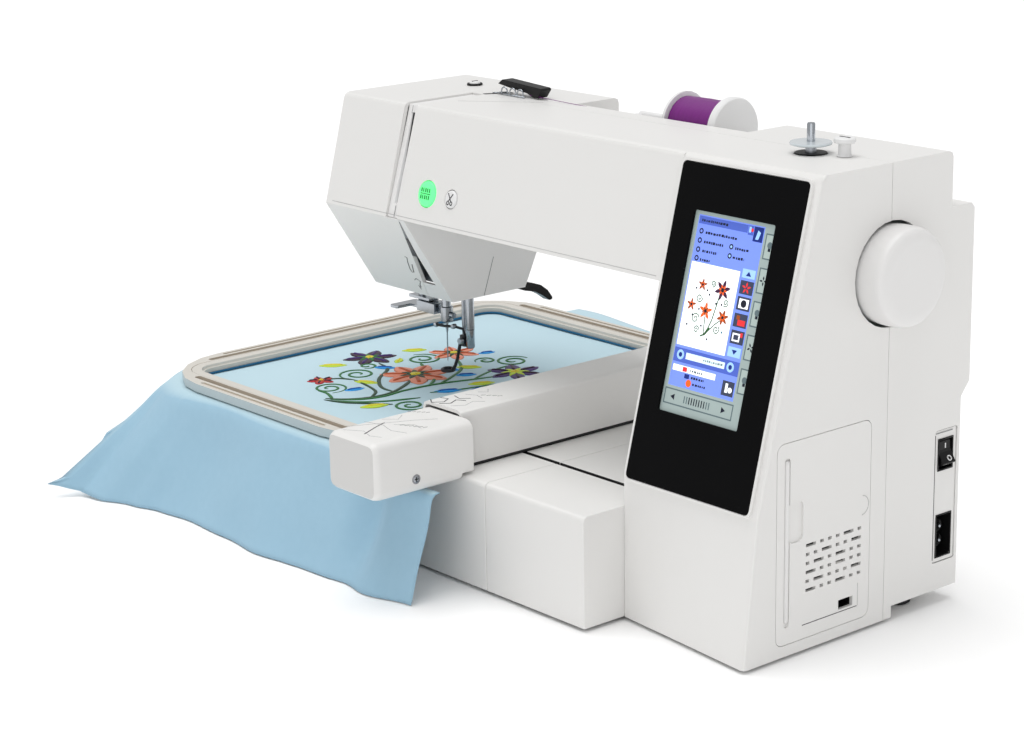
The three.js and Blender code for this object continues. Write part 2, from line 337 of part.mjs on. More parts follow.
// --------------------------------------------------------------- on the top
node('thread_guide_cover', prismY([[-394, TOP + 7.4], [-389.4, TOP + 10.8], [-387.6, TOP + 11], [-345.6, TOP + 8.4], [-344.6, TOP + 7], [-349.4, TOP + 0.9], [-355, TOP + 0.9], [-361, TOP + 3.4], [-380, TOP + 5.4]].reverse(), 139.6, 149.6), 0x1b1b1d, 0.35);
node('spool', turn('x', [[3.6, -229], [22, -229], [22, -226.6], [7, -226.6], [7, -186], [20, -186], [20, -184.6], [3.6, -184.6], [3.6, -229]].reverse(), SPOOL_Y, SPOOL_Z, 24), 0xd9d9d8, 0.4);
node('spool_thread', turn('x', [[7.3, -226.2], [18.6, -226.2], [18.9, -206], [18.4, -186.4], [7.3, -186.4], [7.3, -226.2]].reverse(), SPOOL_Y, SPOOL_Z, 24), 0x7c2682, 0.7);
node('spool_cap', turn('x', [[3.6, -184.2], [23.6, -184.2], [24, -183.4], [24, -181.8], [22.8, -180.6], [9, -178.8], [6, -172], [5, -160], [3.6, -160], [3.6, -184.2]].reverse(), SPOOL_Y, SPOOL_Z, 28), 0xf1f0ee, 0.4);
const WN = [-58.6, 118];
node('winder_carrier', add(cyl('z', 276, TOP - 2, WN[0], WN[1], 8, 24), box(WN[0] - 14, WN[0] + 14, WN[1] - 7, WN[1] + 7, 276, 280)).subtract(cyl('z', 270, 310, WN[0], WN[1], 3.4, 18)), 0x1b1b1d, 0.5);
node('winder_spindle', add(cyl('z', 278, 324, WN[0], WN[1], 2.9, 18), cyl('z', TOP + 1, 309.6, WN[0], WN[1], 5, 18), turn('z', [[0, 309.4], [16.5, 310.2], [17.6, 310.8], [17.6, 311.8], [0, 311.8]], WN[0], WN[1], 32)), 0xd4d8da, 0.15, 0.3);
node('winder_stop', add(cyl('z', TOP + G, 314, -31, 125, 5, 16), turn('z', [[0, 312.8], [10.6, 312.8], [11.4, 314], [10.6, 316], [0, 316.6]], -31, 125, 28)), 0xededeb, 0.35);

// ----------------------------------------------- embroidery arm, sliding in X
const armMid = (ARM_X0 + ARM_X1) / 2;
const armSec = (o) => [[ARM_X0 + o, 79.8 + o], [ARM_X1 - o, 79.8 + o], [ARM_X1 - o, 113], [ARM_X1 - 1.6 - o * 0.6, 116.8 - o * 0.6], [ARM_X1 - 5.4 - o * 0.4, 118.5 - o], [ARM_X0 + 5.4 + o * 0.4, 118.5 - o], [ARM_X0 + 1.6 + o * 0.6, 116.8 - o * 0.6], [ARM_X0 + o, 113]];
const ySlot = box(ARM_X0 - 9, ARM_X0 + 9, -48, ARM_YB - 5, 82.6, 90);
node('embroidery_arm', cut(prismY(armSec(0), -15.1, ARM_YB), prismY(armSec(2.6), -60, ARM_YB - 2.6), ySlot,
  box(-285, -264, 39.4, 43.6, 70, 84)), WHITE, 0.42);
const EB = { x0: -295.4, x1: -242, y0: -100, y1: -15.4 };
const boxOut = prismY(rect(EB.x0, EB.x1, 73.7, 114.6, 7, 3), EB.y0, EB.y1, [], { t: 6, s: 5, n: 3 });
node('arm_end_box', cut(add(boxOut, prismY(rect(EB.x0, EB.x1, 73.7, 114.6, 7, 3), -40, EB.y1)),
  prismY(rect(EB.x0 + 2.8, EB.x1 - 2.8, 76.5, 111.8, 4, 2), EB.y0 + 4, -28), prismY(rect(EB.x0 + 2.8, EB.x1 - 2.8, 81, 111.8, 4, 2), -40, -10), box(-300, -230, -25.2, 0, 70, 79.2), ySlot), WHITE, 0.42);
node('x_carriage', cut(add(box(-291, -260, 31, 52, 31, 53), box(-284, -265, 40.5, 42.5, 52, 84), box(-288, -262, 36, 48, 82.7, 84.4)),
  cyl('x', -300, -250, 41.5, 42, 4.5, 14)), 0x35363a, 0.5, 0.3);
node('x_rail', cyl('x', -470, -134, 41.5, 42, 3.9, 20), CHROME, 0.15, 1);
node('y_rail', cyl('y', -46, ARM_YB - 3, -268, 101, 3.6, 18), CHROME, 0.15, 1);

// ------------------------------------------------------ hoop, sliding in Y
node('y_carriage', cut(add(box(-283, -259, 96, 128, 93.4, 109), box(-300.5, -270, 98, 126, 84.9, 88.2), box(-283, -270, 98, 126, 86, 96)),
  cyl('y', 80, 140, -268, 101, 4, 18)), 0xd9d8d6, 0.45);
const ring = (wi, li, ri, wo, lo, ro, z0, z1) => prismZ(rect(HOOP.x - wo / 2, HOOP.x + wo / 2, HOOP.y - lo / 2, HOOP.y + lo / 2, ro, 5), z0, z1,
  [rect(HOOP.x - wi / 2, HOOP.x + wi / 2, HOOP.y - li / 2, HOOP.y + li / 2, ri, 5)]);
const W = HOOP.w, L = HOOP.l, HZ = HOOP.z1;
node('hoop_inner', cut(ring(W, L, 15, W + 18.8, L + 18.8, 24, 82.4, HZ), ring(W - 2, L - 2, 14, W + 3, L + 3, 16.5, HZ - 2.4, HZ + 5)), 0xd6d2c9, 0.5);
const groove = (o0, o1, end, depth) => [-1, 1].flatMap((q) => [
  prismZ(rect(HOOP.x - W / 2 - o0 + end, HOOP.x + W / 2 + o0 - end, Math.min(HOOP.y + q * (L / 2 + o0), HOOP.y + q * (L / 2 + o1)), Math.max(HOOP.y + q * (L / 2 + o0), HOOP.y + q * (L / 2 + o1)), (o1 - o0) / 2 - 0.1, 3), HZ - depth, HZ + 5),
  prismZ(rect(Math.min(HOOP.x + q * (W / 2 + o0), HOOP.x + q * (W / 2 + o1)), Math.max(HOOP.x + q * (W / 2 + o0), HOOP.x + q * (W / 2 + o1)), HOOP.y - L / 2 - o0 + end, HOOP.y + L / 2 + o0 - end, (o1 - o0) / 2 - 0.1, 3), HZ - depth, HZ + 5)]);
node('hoop_outer', cut(add(ring(W + 19.4, L + 19.4, 24.3, W + 51.4, L + 51.4, 64, 82.4, HZ),
  box(HOOP.x + W / 2 + 24, -301, 84, 139, 82.4, 87.4)),
...groove(10.9, 16.3, 32, 4.2), ...groove(19.2, 22.2, 58, 1)), 0xd2cec5, 0.5);
node('hoop_clamp_lever', add(cyl('z', HZ + G, 93.4, -316, 144, 5, 16), prismZ([[-319.4, 144], [-312.6, 144], [-313.6, 114], [-318.4, 114]].reverse(), 90.6, 93)), 0xc9c6be, 0.45);
// cloth held in the hoop: flat under the rings, hanging past the front and left
const FZ0 = 80.1, FZ1 = 81.7;
const fx0 = HOOP.x - W / 2 - 26, fx1 = -301.5, fy0 = HOOP.y - L / 2 - 26, fy1 = 344;
const flat = prismZ([[fx0, fy0], [fx1, fy0], [fx1, fy1], [fx0, fy1]], FZ0, FZ1).subtract(cyl('z', 70, 99, NEEDLE[0], NEEDLE[1], 2.5, 16));
const skirtF = prismX([[fy0 + 1, FZ1], [fy0 + 1, FZ0], [fy0 - 6, FZ0 - 5], [fy0 - 22, 30], [fy0 - 40, 0.4], [fy0 - 40, -1.6], [fy0 - 42, -1.6], [fy0 - 24, 30], [fy0 - 8, FZ0 - 3.6], [fy0 - 2, FZ1]], fx0 + 2, -236)
  .subtract(box(-303, -200, -101, 0, 72.6, 120));
const skirtL = prismY([[fx0 + 1, FZ0], [fx0 + 1, FZ1], [fx0 - 2, FZ1], [fx0 - 6, FZ0 - 6], [fx0 - 14, 30], [fx0 - 16, 30], [fx0 - 16, 28.4], [fx0 - 14, 28.4], [fx0 - 5, FZ0 - 8]].reverse(), fy0 - 4, fy1);
const corner = prismX([[fy0 + 1, FZ1], [fy0 + 1, FZ0], [fy0 - 6, FZ0 - 5], [-96, 40], [-138, 3], [-140, 3], [-98, 41], [fy0 - 8, FZ0 - 3.6], [fy0 - 2, FZ1]], fx0 - 18, fx0 + 4);
node('cloth', add(flat, skirtF, skirtL, corner), 0xa5c6dc, 0.9);

// ------------------------------------------------------------------- placing
const bounds = new THREE.Box3().setFromObject(root);
root.position.set(-(bounds.min.x + bounds.max.x) / 2, -(bounds.min.y + bounds.max.y) / 2, FOOT);
root.updateMatrixWorld(true);

export default root;
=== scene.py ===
# Looks for the embroidery machine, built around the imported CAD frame.
# All making is done in the machine's own millimetres and moved to the frame with P().
import bpy
import bmesh
import math
import random
from mathutils import Vector, Matrix, noise

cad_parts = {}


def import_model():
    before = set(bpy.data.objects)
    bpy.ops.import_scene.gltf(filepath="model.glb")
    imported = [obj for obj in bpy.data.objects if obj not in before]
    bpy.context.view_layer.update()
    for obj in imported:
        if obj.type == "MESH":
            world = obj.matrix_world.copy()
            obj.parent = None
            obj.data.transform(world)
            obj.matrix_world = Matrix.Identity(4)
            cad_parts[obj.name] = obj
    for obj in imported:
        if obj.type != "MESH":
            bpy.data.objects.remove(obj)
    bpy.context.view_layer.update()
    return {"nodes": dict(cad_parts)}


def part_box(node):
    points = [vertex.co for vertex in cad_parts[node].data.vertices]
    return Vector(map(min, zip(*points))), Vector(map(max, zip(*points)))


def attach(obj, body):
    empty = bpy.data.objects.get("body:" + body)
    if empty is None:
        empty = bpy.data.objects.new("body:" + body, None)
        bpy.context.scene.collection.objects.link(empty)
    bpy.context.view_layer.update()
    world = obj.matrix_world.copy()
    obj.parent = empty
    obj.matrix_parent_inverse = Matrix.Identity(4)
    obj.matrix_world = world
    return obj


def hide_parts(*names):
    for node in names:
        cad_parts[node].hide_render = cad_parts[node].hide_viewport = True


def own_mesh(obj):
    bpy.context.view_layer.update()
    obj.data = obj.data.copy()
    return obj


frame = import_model()
NODES = frame["nodes"]
scene = bpy.context.scene
random.seed(7)

# ------------------------------------------------------------------ placing
_lo, _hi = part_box("column_rear_cover")
_blo, _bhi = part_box("bed_cover_left")
_flo, _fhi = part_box("foot_front_left")
SX, SY, SZ = _hi.x * 1000, _blo.y * 1000 + 24.4, _flo.z * 1000 + 2.5


def P(x, y, z):
    return Vector(((x + SX) / 1000, (y + SY) / 1000, (z + SZ) / 1000))


TOP, ARM_Z, ARM_YF, TILT = 304.0, 222.2, 44.5, 0.2637
LEAN = math.atan(TILT)
E1 = Vector((1, 0, 0))
E2 = Vector((0, math.sin(LEAN), math.cos(LEAN)))
EN = Vector((0, -math.cos(LEAN), math.sin(LEAN)))      # out of the leaning face


def F(x, z, out=0.0):
    """A point on the leaning front face: x, distance up the slope, height above it."""
    q = Vector((0, ARM_YF, ARM_Z)) + E1 * x + E2 * z + EN * out
    return P(q.x, q.y, q.z)


# ------------------------------------------------------------------- camera
def make_camera():
    f, az, el, ro, d = 2445.8, math.radians(49.9), math.radians(15.2), math.radians(-1.1), 1697.3
    fwd = Vector((-math.sin(az) * math.cos(el), math.cos(az) * math.cos(el), -math.sin(el)))
    right = Vector((math.cos(az), math.sin(az), 0))
    up = right.cross(fwd)
    r2 = right * math.cos(ro) + up * math.sin(ro)
    u2 = -right * math.sin(ro) + up * math.cos(ro)
    tgt = Vector((-250, 50, 150)) + right * -17.6 + up * -9.9
    at = tgt - fwd * d
    cam = bpy.data.cameras.new("camera")
    cam.sensor_width = 36
    cam.sensor_fit = 'HORIZONTAL'
    cam.lens = f * 36 / 1024
    cam.clip_start, cam.clip_end = 0.05, 50
    ob = bpy.data.objects.new("camera", cam)
    m = Matrix((r2, u2, -fwd)).transposed().to_4x4()
    m.translation = P(*at)
    ob.matrix_world = m
    scene.collection.objects.link(ob)
    scene.camera = ob


make_camera()


# ---------------------------------------------------------------- materials
def srgb(r, g, b):
    def c(v):
        v /= 255
        return v / 12.92 if v <= 0.04045 else ((v + 0.055) / 1.055) ** 2.4
    return (c(r), c(g), c(b), 1)


def mix_col(a, b, t):
    """Towards black by a share, or brighter by a share of the colour's own value."""
    if b[0] > 0.5:
        return tuple(min(1.0, a[i] * (1 + 1.6 * t) + 0.004 * t) for i in range(3)) + (1,)
    return tuple(a[i] * (1 - t) for i in range(3)) + (1,)


class Mat:
    def __init__(self, name):
        self.m = bpy.data.materials.new(name)
        self.m.use_nodes = True
        self.t = self.m.node_tree
        self.n = self.t.nodes
        self.bsdf = self.n["Principled BSDF"]

    def new(self, kind, **kw):
        node = self.n.new(kind)
        for k, v in kw.items():
            setattr(node, k, v)
        return node

    def link(self, a, b):
        self.t.links.new(a, b)

    def coords(self):
        return self.new("ShaderNodeTexCoord").outputs["Object"]


def plastic(name, col, rough=0.42, grain=2600, grain_h=0.02, mottle=0.03, coat=0.0, spec=0.45, edge=0.0, mscale=9, sub=0.0):
    """Moulded plastic: fine spark texture, faint cloudiness, slightly uneven gloss."""
    a = Mat(name)
    co = a.coords()
    n1 = a.new("ShaderNodeTexNoise")
    n1.inputs["Scale"].default_value = mscale
    n1.inputs["Detail"].default_value = 3
    a.link(co, n1.inputs["Vector"])
    mx = a.new("ShaderNodeMix", data_type='RGBA')
    mx.inputs["A"].default_value = mix_col(col, (0, 0, 0), mottle)
    mx.inputs["B"].default_value = mix_col(col, (1, 1, 1), mottle * 0.6)
    a.link(n1.outputs["Fac"], mx.inputs["Factor"])
    a.link(mx.outputs["Result"], a.bsdf.inputs["Base Color"])
    n2 = a.new("ShaderNodeTexNoise")
    n2.inputs["Scale"].default_value = grain
    n2.inputs["Detail"].default_value = 2
    a.link(co, n2.inputs["Vector"])
    mr = a.new("ShaderNodeMapRange")
    mr.inputs["To Min"].default_value = max(0.02, rough - 0.05)
    mr.inputs["To Max"].default_value = rough + 0.05
    a.link(n1.outputs["Fac"], mr.inputs["Value"])
    a.link(mr.outputs["Result"], a.bsdf.inputs["Roughness"])
    bp = a.new("ShaderNodeBump")
    bp.inputs["Strength"].default_value = 0.35
    bp.inputs["Distance"].default_value = grain_h / 1000
    a.link(n2.outputs["Fac"], bp.inputs["Height"])
    a.link(bp.outputs["Normal"], a.bsdf.inputs["Normal"])
    a.bsdf.inputs["Specular IOR Level"].default_value = spec
    if coat:
        a.bsdf.inputs["Coat Weight"].default_value = coat
        a.bsdf.inputs["Coat Roughness"].default_value = 0.05
    if sub:
        a.bsdf.inputs["Subsurface Weight"].default_value = sub
        a.bsdf.inputs["Subsurface Radius"].default_value = (0.002, 0.002, 0.002)
    return a.m


def metal(name, col, rough=0.25, brush=None, scale=900):
    a = Mat(name)
    co = a.coords()
    mp = a.new("ShaderNodeMapping")
    mp.inputs["Scale"].default_value = brush or (1, 1, 1)
    a.link(co, mp.inputs["Vector"])
    n1 = a.new("ShaderNodeTexNoise")
    n1.inputs["Scale"].default_value = scale
    n1.inputs["Detail"].default_value = 4
    a.link(mp.outputs["Vector"], n1.inputs["Vector"])
    mr = a.new("ShaderNodeMapRange")
    mr.inputs["To Min"].default_value = max(0.03, rough - 0.08)
    mr.inputs["To Max"].default_value = rough + 0.1
    a.link(n1.outputs["Fac"], mr.inputs["Value"])
    a.link(mr.outputs["Result"], a.bsdf.inputs["Roughness"])
    mx = a.new("ShaderNodeMix", data_type='RGBA')
    mx.inputs["A"].default_value = mix_col(col, (0, 0, 0), 0.12)
    mx.inputs["B"].default_value = mix_col(col, (1, 1, 1), 0.06)
    a.link(n1.outputs["Fac"], mx.inputs["Factor"])
    a.link(mx.outputs["Result"], a.bsdf.inputs["Base Color"])
    a.bsdf.inputs["Metallic"].default_value = 1
    bp = a.new("ShaderNodeBump")
    bp.inputs["Strength"].default_value = 0.2
    bp.inputs["Distance"].default_value = 0.00001
    a.link(n1.outputs["Fac"], bp.inputs["Height"])
    a.link(bp.outputs["Normal"], a.bsdf.inputs["Normal"])
    return a.m


def weave(name, col, dark, pitch=0.00042, sheen=0.12, painted_light_top=None):
    """Plain-weave cotton: crossing waves in the cloth's own UVs (metres), slub noise, sheen."""
    a = Mat(name)
    uv = a.new("ShaderNodeUVMap")
    uv.uv_map = "cloth"
    sep = a.new("ShaderNodeSeparateXYZ")
    a.link(uv.outputs["UV"], sep.inputs["Vector"])
    waves = []
    for axis, phase in (("X", 0.0), ("Y", 1.5708)):
        mul = a.new("ShaderNodeMath", operation='MULTIPLY')
        mul.inputs[1].default_value = 2 * math.pi / pitch / 2
        a.link(sep.outputs[axis], mul.inputs[0])
        add = a.new("ShaderNodeMath", operation='ADD')
        add.inputs[1].default_value = phase
        a.link(mul.outputs[0], add.inputs[0])
        s = a.new("ShaderNodeMath", operation='SINE')
        a.link(add.outputs[0], s.inputs[0])
        waves.append(s.outputs[0])
    prod = a.new("ShaderNodeMath", operation='MULTIPLY')
    a.link(waves[0], prod.inputs[0])
    a.link(waves[1], prod.inputs[1])
    slub = a.new("ShaderNodeTexNoise")
    slub.inputs["Scale"].default_value = 160
    slub.inputs["Detail"].default_value = 5
    a.link(a.coords(), slub.inputs["Vector"])
    big = a.new("ShaderNodeTexNoise")
    big.inputs["Scale"].default_value = 14
    big.inputs["Detail"].default_value = 2
    a.link(a.coords(), big.inputs["Vector"])
    s1 = a.new("ShaderNodeMath", operation='MULTIPLY_ADD')
    s1.inputs[1].default_value = 0.12
    s1.inputs[2].default_value = 0.5
    a.link(prod.outputs[0], s1.inputs[0])
    s2 = a.new("ShaderNodeMath", operation='MULTIPLY_ADD')
    s2.inputs[1].default_value = 0.35
    a.link(slub.outputs["Fac"], s2.inputs[0])
    a.link(s1.outputs[0], s2.inputs[2])
    s3 = a.new("ShaderNodeMath", operation='MULTIPLY_ADD')
    s3.inputs[1].default_value = 0.25
    a.link(big.outputs["Fac"], s3.inputs[0])
    a.link(s2.outputs[0], s3.inputs[2])
    s4 = a.new("ShaderNodeMath", operation='SUBTRACT')
    s4.inputs[1].default_value = 0.3
    s4.use_clamp = True
    a.link(s3.outputs[0], s4.inputs[0])
    mx = a.new("ShaderNodeMix", data_type='RGBA')
    mx.inputs["A"].default_value = dark
    mx.inputs["B"].default_value = col
    a.link(s4.outputs[0], mx.inputs["Factor"])
    if painted_light_top:
        # painted light: the level, upward-facing part is made paler than the folds
        ge = a.new("ShaderNodeNewGeometry")
        sn = a.new("ShaderNodeSeparateXYZ")
        a.link(ge.outputs["Normal"], sn.inputs["Vector"])
        ab = a.new("ShaderNodeMath", operation='ABSOLUTE')
        a.link(sn.outputs["Z"], ab.inputs[0])
        rg = a.new("ShaderNodeMapRange")
        rg.inputs["From Min"].default_value = 0.72
        rg.inputs["From Max"].default_value = 1.0
        a.link(ab.outputs[0], rg.inputs["Value"])
        m2 = a.new("ShaderNodeMix", data_type='RGBA')
        m2.inputs["B"].default_value = painted_light_top
        a.link(rg.outputs["Result"], m2.inputs["Factor"])
        a.link(mx.outputs["Result"], m2.inputs["A"])
        mx = m2
    a.link(mx.outputs["Result"], a.bsdf.inputs["Base Color"])
    bp = a.new("ShaderNodeBump")
    bp.inputs["Strength"].default_value = 0.5
    bp.inputs["Distance"].default_value = 0.00008
    a.link(s2.outputs[0], bp.inputs["Height"])
    a.link(bp.outputs["Normal"], a.bsdf.inputs["Normal"])
    a.bsdf.inputs["Roughness"].default_value = 0.82
    a.bsdf.inputs["Sheen Weight"].default_value = sheen
    a.bsdf.inputs["Sheen Roughness"].default_value = 0.5
    a.bsdf.inputs["Specular IOR Level"].default_value = 0.2
    return a.m


def thread_mat(name, col, axis=None, scale=1800, rough=0.42, sheen=0.06):
    """Silky embroidery thread: fine lines with a soft shine."""
    a = Mat(name)
    co = a.coords()
    mp = a.new("ShaderNodeMapping")
    mp.inputs["Scale"].default_value = axis or (1, 1, 1)
    a.link(co, mp.inputs["Vector"])
    w = a.new("ShaderNodeTexNoise")
    w.inputs["Scale"].default_value = scale
    w.inputs["Detail"].default_value = 2
    a.link(mp.outputs["Vector"], w.inputs["Vector"])
    mx = a.new("ShaderNodeMix", data_type='RGBA')
    mx.inputs["A"].default_value = mix_col(col, (0, 0, 0), 0.45)
    mx.inputs["B"].default_value = mix_col(col, (1, 1, 1), 0.12)
    a.link(w.outputs["Fac"], mx.inputs["Factor"])
    a.link(mx.outputs["Result"], a.bsdf.inputs["Base Color"])
    bp = a.new("ShaderNodeBump")
    bp.inputs["Strength"].default_value = 0.6
    bp.inputs["Distance"].default_value = 0.0002
    a.link(w.outputs["Fac"], bp.inputs["Height"])
    a.link(bp.outputs["Normal"], a.bsdf.inputs["Normal"])
    a.bsdf.inputs["Roughness"].default_value = rough
    a.bsdf.inputs["Sheen Weight"].default_value = sheen
    a.bsdf.inputs["Specular IOR Level"].default_value = 0.25
    return a.m


def lit(name, col, strength=0.55, rough=0.25):
    """A part of the lit screen, or a lit cap; also the painted glow on the take-up slot's walls."""
    a = Mat(name)
    n1 = a.new("ShaderNodeTexNoise")
    n1.inputs["Scale"].default_value = 40
    a.link(a.coords(), n1.inputs["Vector"])
    mx = a.new("ShaderNodeMix", data_type='RGBA')
    mx.inputs["A"].default_value = mix_col(col, (0, 0, 0), 0.08)
    mx.inputs["B"].default_value = mix_col(col, (1, 1, 1), 0.04)
    a.link(n1.outputs["Fac"], mx.inputs["Factor"])
    a.link(mx.outputs["Result"], a.bsdf.inputs["Base Color"])
    a.bsdf.inputs["Roughness"].default_value = rough
    a.bsdf.inputs["Emission Color"].default_value = col
    a.bsdf.inputs["Emission Strength"].default_value = strength
    a.bsdf.inputs["Specular IOR Level"].default_value = 0.3
    return a.m


WHITE = plastic("white_shell", srgb(226, 225, 223), 0.40, mottle=0.012)
WHITE2 = plastic("white_shell_shaded", srgb(228, 227, 226), 0.44, mottle=0.012)
PANEL_W = plastic("white_access_panel", srgb(227, 226, 224), 0.46, mottle=0.014, grain=1800, grain_h=0.03)
WHEEL = plastic("white_wheel", srgb(225, 224, 223), 0.33, mottle=0.01)
CAP = plastic("white_caps", srgb(228, 228, 228), 0.38, mottle=0.02)
PAN = plastic("grey_tray", srgb(196, 196, 196), 0.6)
RUBBER = plastic("dark_rubber", srgb(42, 42, 44), 0.85, grain=900, grain_h=0.08, spec=0.2)
PLATE = metal("brushed_plate", srgb(200, 203, 206), 0.3, (1, 40, 1), 400)
CLEAR = plastic("clear_smoke", srgb(202, 210, 214), 0.12, coat=0.6, grain_h=0.003)
CAST = metal("cast_alloy", srgb(150, 152, 156), 0.5, None, 300)
CHROME = metal("polished_steel", srgb(176, 181, 187), 0.13, (1, 1, 0.05), 900)
SPINDLE = metal("dark_spindle", srgb(128, 130, 135), 0.16, None, 500)
STEEL = metal("ground_steel", srgb(176, 180, 186), 0.28, (30, 1, 1), 300)
GLASS = plastic("gloss_black_panel", srgb(10, 10, 11), 0.16, grain_h=0.002, mottle=0.2, spec=0.05)
RIM = plastic("panel_rim", srgb(236, 234, 231), 0.4)
BLACK = plastic("black_moulded", srgb(19, 19, 20), 0.42, grain=1500, grain_h=0.03, mottle=0.15, spec=0.25)
BLACK_G = plastic("black_gloss_lever", srgb(12, 12, 13), 0.24, grain_h=0.006, mottle=0.15, spec=0.22)
GREEN = lit("green_cap", srgb(104, 250, 146), 0.55, 0.3)
GREEN_D = plastic("green_mark", srgb(24, 140, 62), 0.4)
MOTOR = plastic("motor_paint", srgb(36, 36, 40), 0.4)
HOOP = plastic("hoop_plastic", srgb(206, 202, 194), 0.45, mottle=0.02, grain=1500, grain_h=0.03)
HOOP_D = plastic("hoop_groove", srgb(190, 180, 166), 0.6)
# bluish grey: painted reflection of the blue cloth on the hoop's outer wall
HOOP_PAINTED_REFLECTION = plastic("hoop_wall_painted_reflection", srgb(172, 186, 190), 0.5, mottle=0.02)
# deep blue: painted shadow in the gap between the inner ring and the cloth
RING_FOOT_SHADOW = plastic("ring_foot_painted_shadow", srgb(24, 92, 128), 0.5, mottle=0.05, spec=0.3)
# lighter copy of the hoop plastic: painted light on the inner ring's upper wall band
HOOP_PAINTED_LIGHT = plastic("hoop_inner_band_painted_light", srgb(214, 210, 202), 0.5)
PURPLE = thread_mat("purple_thread", srgb(124, 34, 130), (60, 1, 1), 60)
INK = plastic("printed_ink", srgb(60, 60, 64), 0.55)
INK_L = plastic("printed_ink_light", srgb(150, 150, 154), 0.55)
DARK = plastic("deep_shadow", srgb(26, 26, 28), 0.7)
GROOVE = plastic("seam_line", srgb(120, 120, 122), 0.7)
# darker copy of the white: painted shade on the end box's front face
WHITE_PAINTED_SHADE = plastic("white_end_box_painted_shade", srgb(204, 203, 201), 0.42, mottle=0.012)
# glowing grey: painted light that lifts the shade on the take-up slot's walls
SLOT_PAINTED_GLOW = lit("slot_wall_painted_glow", srgb(196, 196, 196), 0.46, 0.6)
LINE_M = plastic("mid_line", srgb(138, 139, 141), 0.6)
LINE_L = plastic("faint_line", srgb(188, 188, 187), 0.6)
LINE_D = plastic("dark_line", srgb(84, 84, 86), 0.6)
MARK_W = plastic("switch_mark", srgb(225, 225, 225), 0.5)

NODE_MAT = {
    'base_pan': PAN, 'foot_front_left': RUBBER, 'foot_front_right': RUBBER, 'foot_rear_left': RUBBER, 'foot_rear_right': RUBBER,
    'bed_cover_left': WHITE, 'bed_cover_right': WHITE, 'needle_plate': PLATE, 'bobbin_cover': CLEAR, 'bed_frame': CAST,
    'hook': STEEL, 'bobbin': CLEAR, 'lower_shaft': STEEL, 'column_front_cover': WHITE, 'column_rear_cover': WHITE, 'side_panel': PANEL_W,
    'usb_socket': BLACK, 'inlet_plate': WHITE, 'inlet_pins': CHROME, 'power_rocker': BLACK_G, 'panel_glass': GLASS,
    'lcd_module': lit("screen_base", srgb(150, 164, 162), 0.35), 'arm_front_cover': WHITE, 'arm_rear_cover': WHITE, 'spool_pin': CAP,
    'thread_channel': WHITE2, 'face_plate': WHITE, 'nose_cover': WHITE2, 'start_stop_button': GREEN, 'thread_cutter_button': CAP,
    'main_frame': CAST, 'handwheel': WHEEL, 'upper_shaft': STEEL, 'main_motor': MOTOR, 'motor_pulley': STEEL,
    'needle_bar': CHROME, 'needle_clamp': CHROME, 'needle': CHROME, 'presser_bar': CHROME, 'embroidery_foot': MOTOR,
    'presser_lifter': BLACK_G, 'needle_threader': CHROME, 'take_up_lever': CHROME, 'thread_guide_cover': BLACK, 'spool': CAP,
    'spool_thread': PURPLE, 'spool_cap': CAP, 'winder_carrier': BLACK, 'winder_spindle': SPINDLE, 'winder_stop': CAP,
    'embroidery_arm': WHITE, 'arm_end_box': WHITE, 'x_carriage': MOTOR, 'x_rail': CHROME, 'y_rail': CHROME, 'y_carriage': CAP,
    'hoop_inner': HOOP, 'hoop_outer': HOOP, 'hoop_clamp_lever': HOOP, 'cloth': HOOP,
}
BEVELS = {   # node: bevel width in mm, steps
    'bed_cover_left': (0.7, 2), 'bed_cover_right': (0.7, 2), 'side_panel': (0.35, 2), 'thread_channel': (0.3, 2), 'face_plate': (1.0, 3),
    'nose_cover': (1.0, 3), 'handwheel': (0.8, 2), 'embroidery_arm': (1.2, 3), 'arm_end_box': (0.8, 2), 'hoop_inner': (0.5, 2),
    'hoop_outer': (0.5, 2), 'hoop_clamp_lever': (0.4, 2), 'panel_glass': (0.3, 2), 'inlet_plate': (0.3, 2), 'power_rocker': (0.4, 2),
    'thread_guide_cover': (0.5, 2), 'presser_lifter': (1.2, 3), 'spool_cap': (0.3, 2), 'spool': (0.3, 2), 'winder_stop': (0.3, 2),
    'start_stop_button': (0.3, 2), 'thread_cutter_button': (0.3, 2), 'needle_clamp': (0.3, 2), 'embroidery_foot': (0.25, 2),
    'needle_threader': (0.3, 2), 'needle_plate': (0.3, 2), 'presser_bar': (0.2, 1), 'spool_pin': (0.4, 2), 'y_carriage': (0.5, 2),
}


def drop_normals(me):
    for nm in ("custom_normal",):
        if nm in me.attributes:
            me.attributes.remove(me.attributes[nm])
    if "sharp_face" in me.attributes:
        me.attributes.remove(me.attributes["sharp_face"])


def soften(ob, width=0.0, steps=2, weld=True, angle=32):
    """Weld, clear flat facets, round the edges by width mm and even the shading."""
    if weld:
        w = ob.modifiers.new("weld", 'WELD')
        w.merge_threshold = 0.000004
        d = ob.modifiers.new("planar", 'DECIMATE')
        d.decimate_type = 'DISSOLVE'
        d.angle_limit = math.radians(0.4)
    if width:
        b = ob.modifiers.new("bevel", 'BEVEL')
        b.width = width / 1000
        b.segments = steps
        b.limit_method = 'ANGLE'
        b.angle_limit = math.radians(angle)
        b.harden_normals = False
        b.use_clamp_overlap = True
        b.miter_outer = 'MITER_ARC'
    n = ob.modifiers.new("normals", 'WEIGHTED_NORMAL')
    n.keep_sharp = True
    n.weight = 60


def sharpen(me, angle):
    """Mark edges sharper than angle, so that smooth shading keeps them."""
    bm = bmesh.new()
    bm.from_mesh(me)
    for e in bm.edges:
        if len(e.link_faces) == 2 and e.calc_face_angle(0) > math.radians(angle):
            e.smooth = False
    bm.to_mesh(me)
    bm.free()


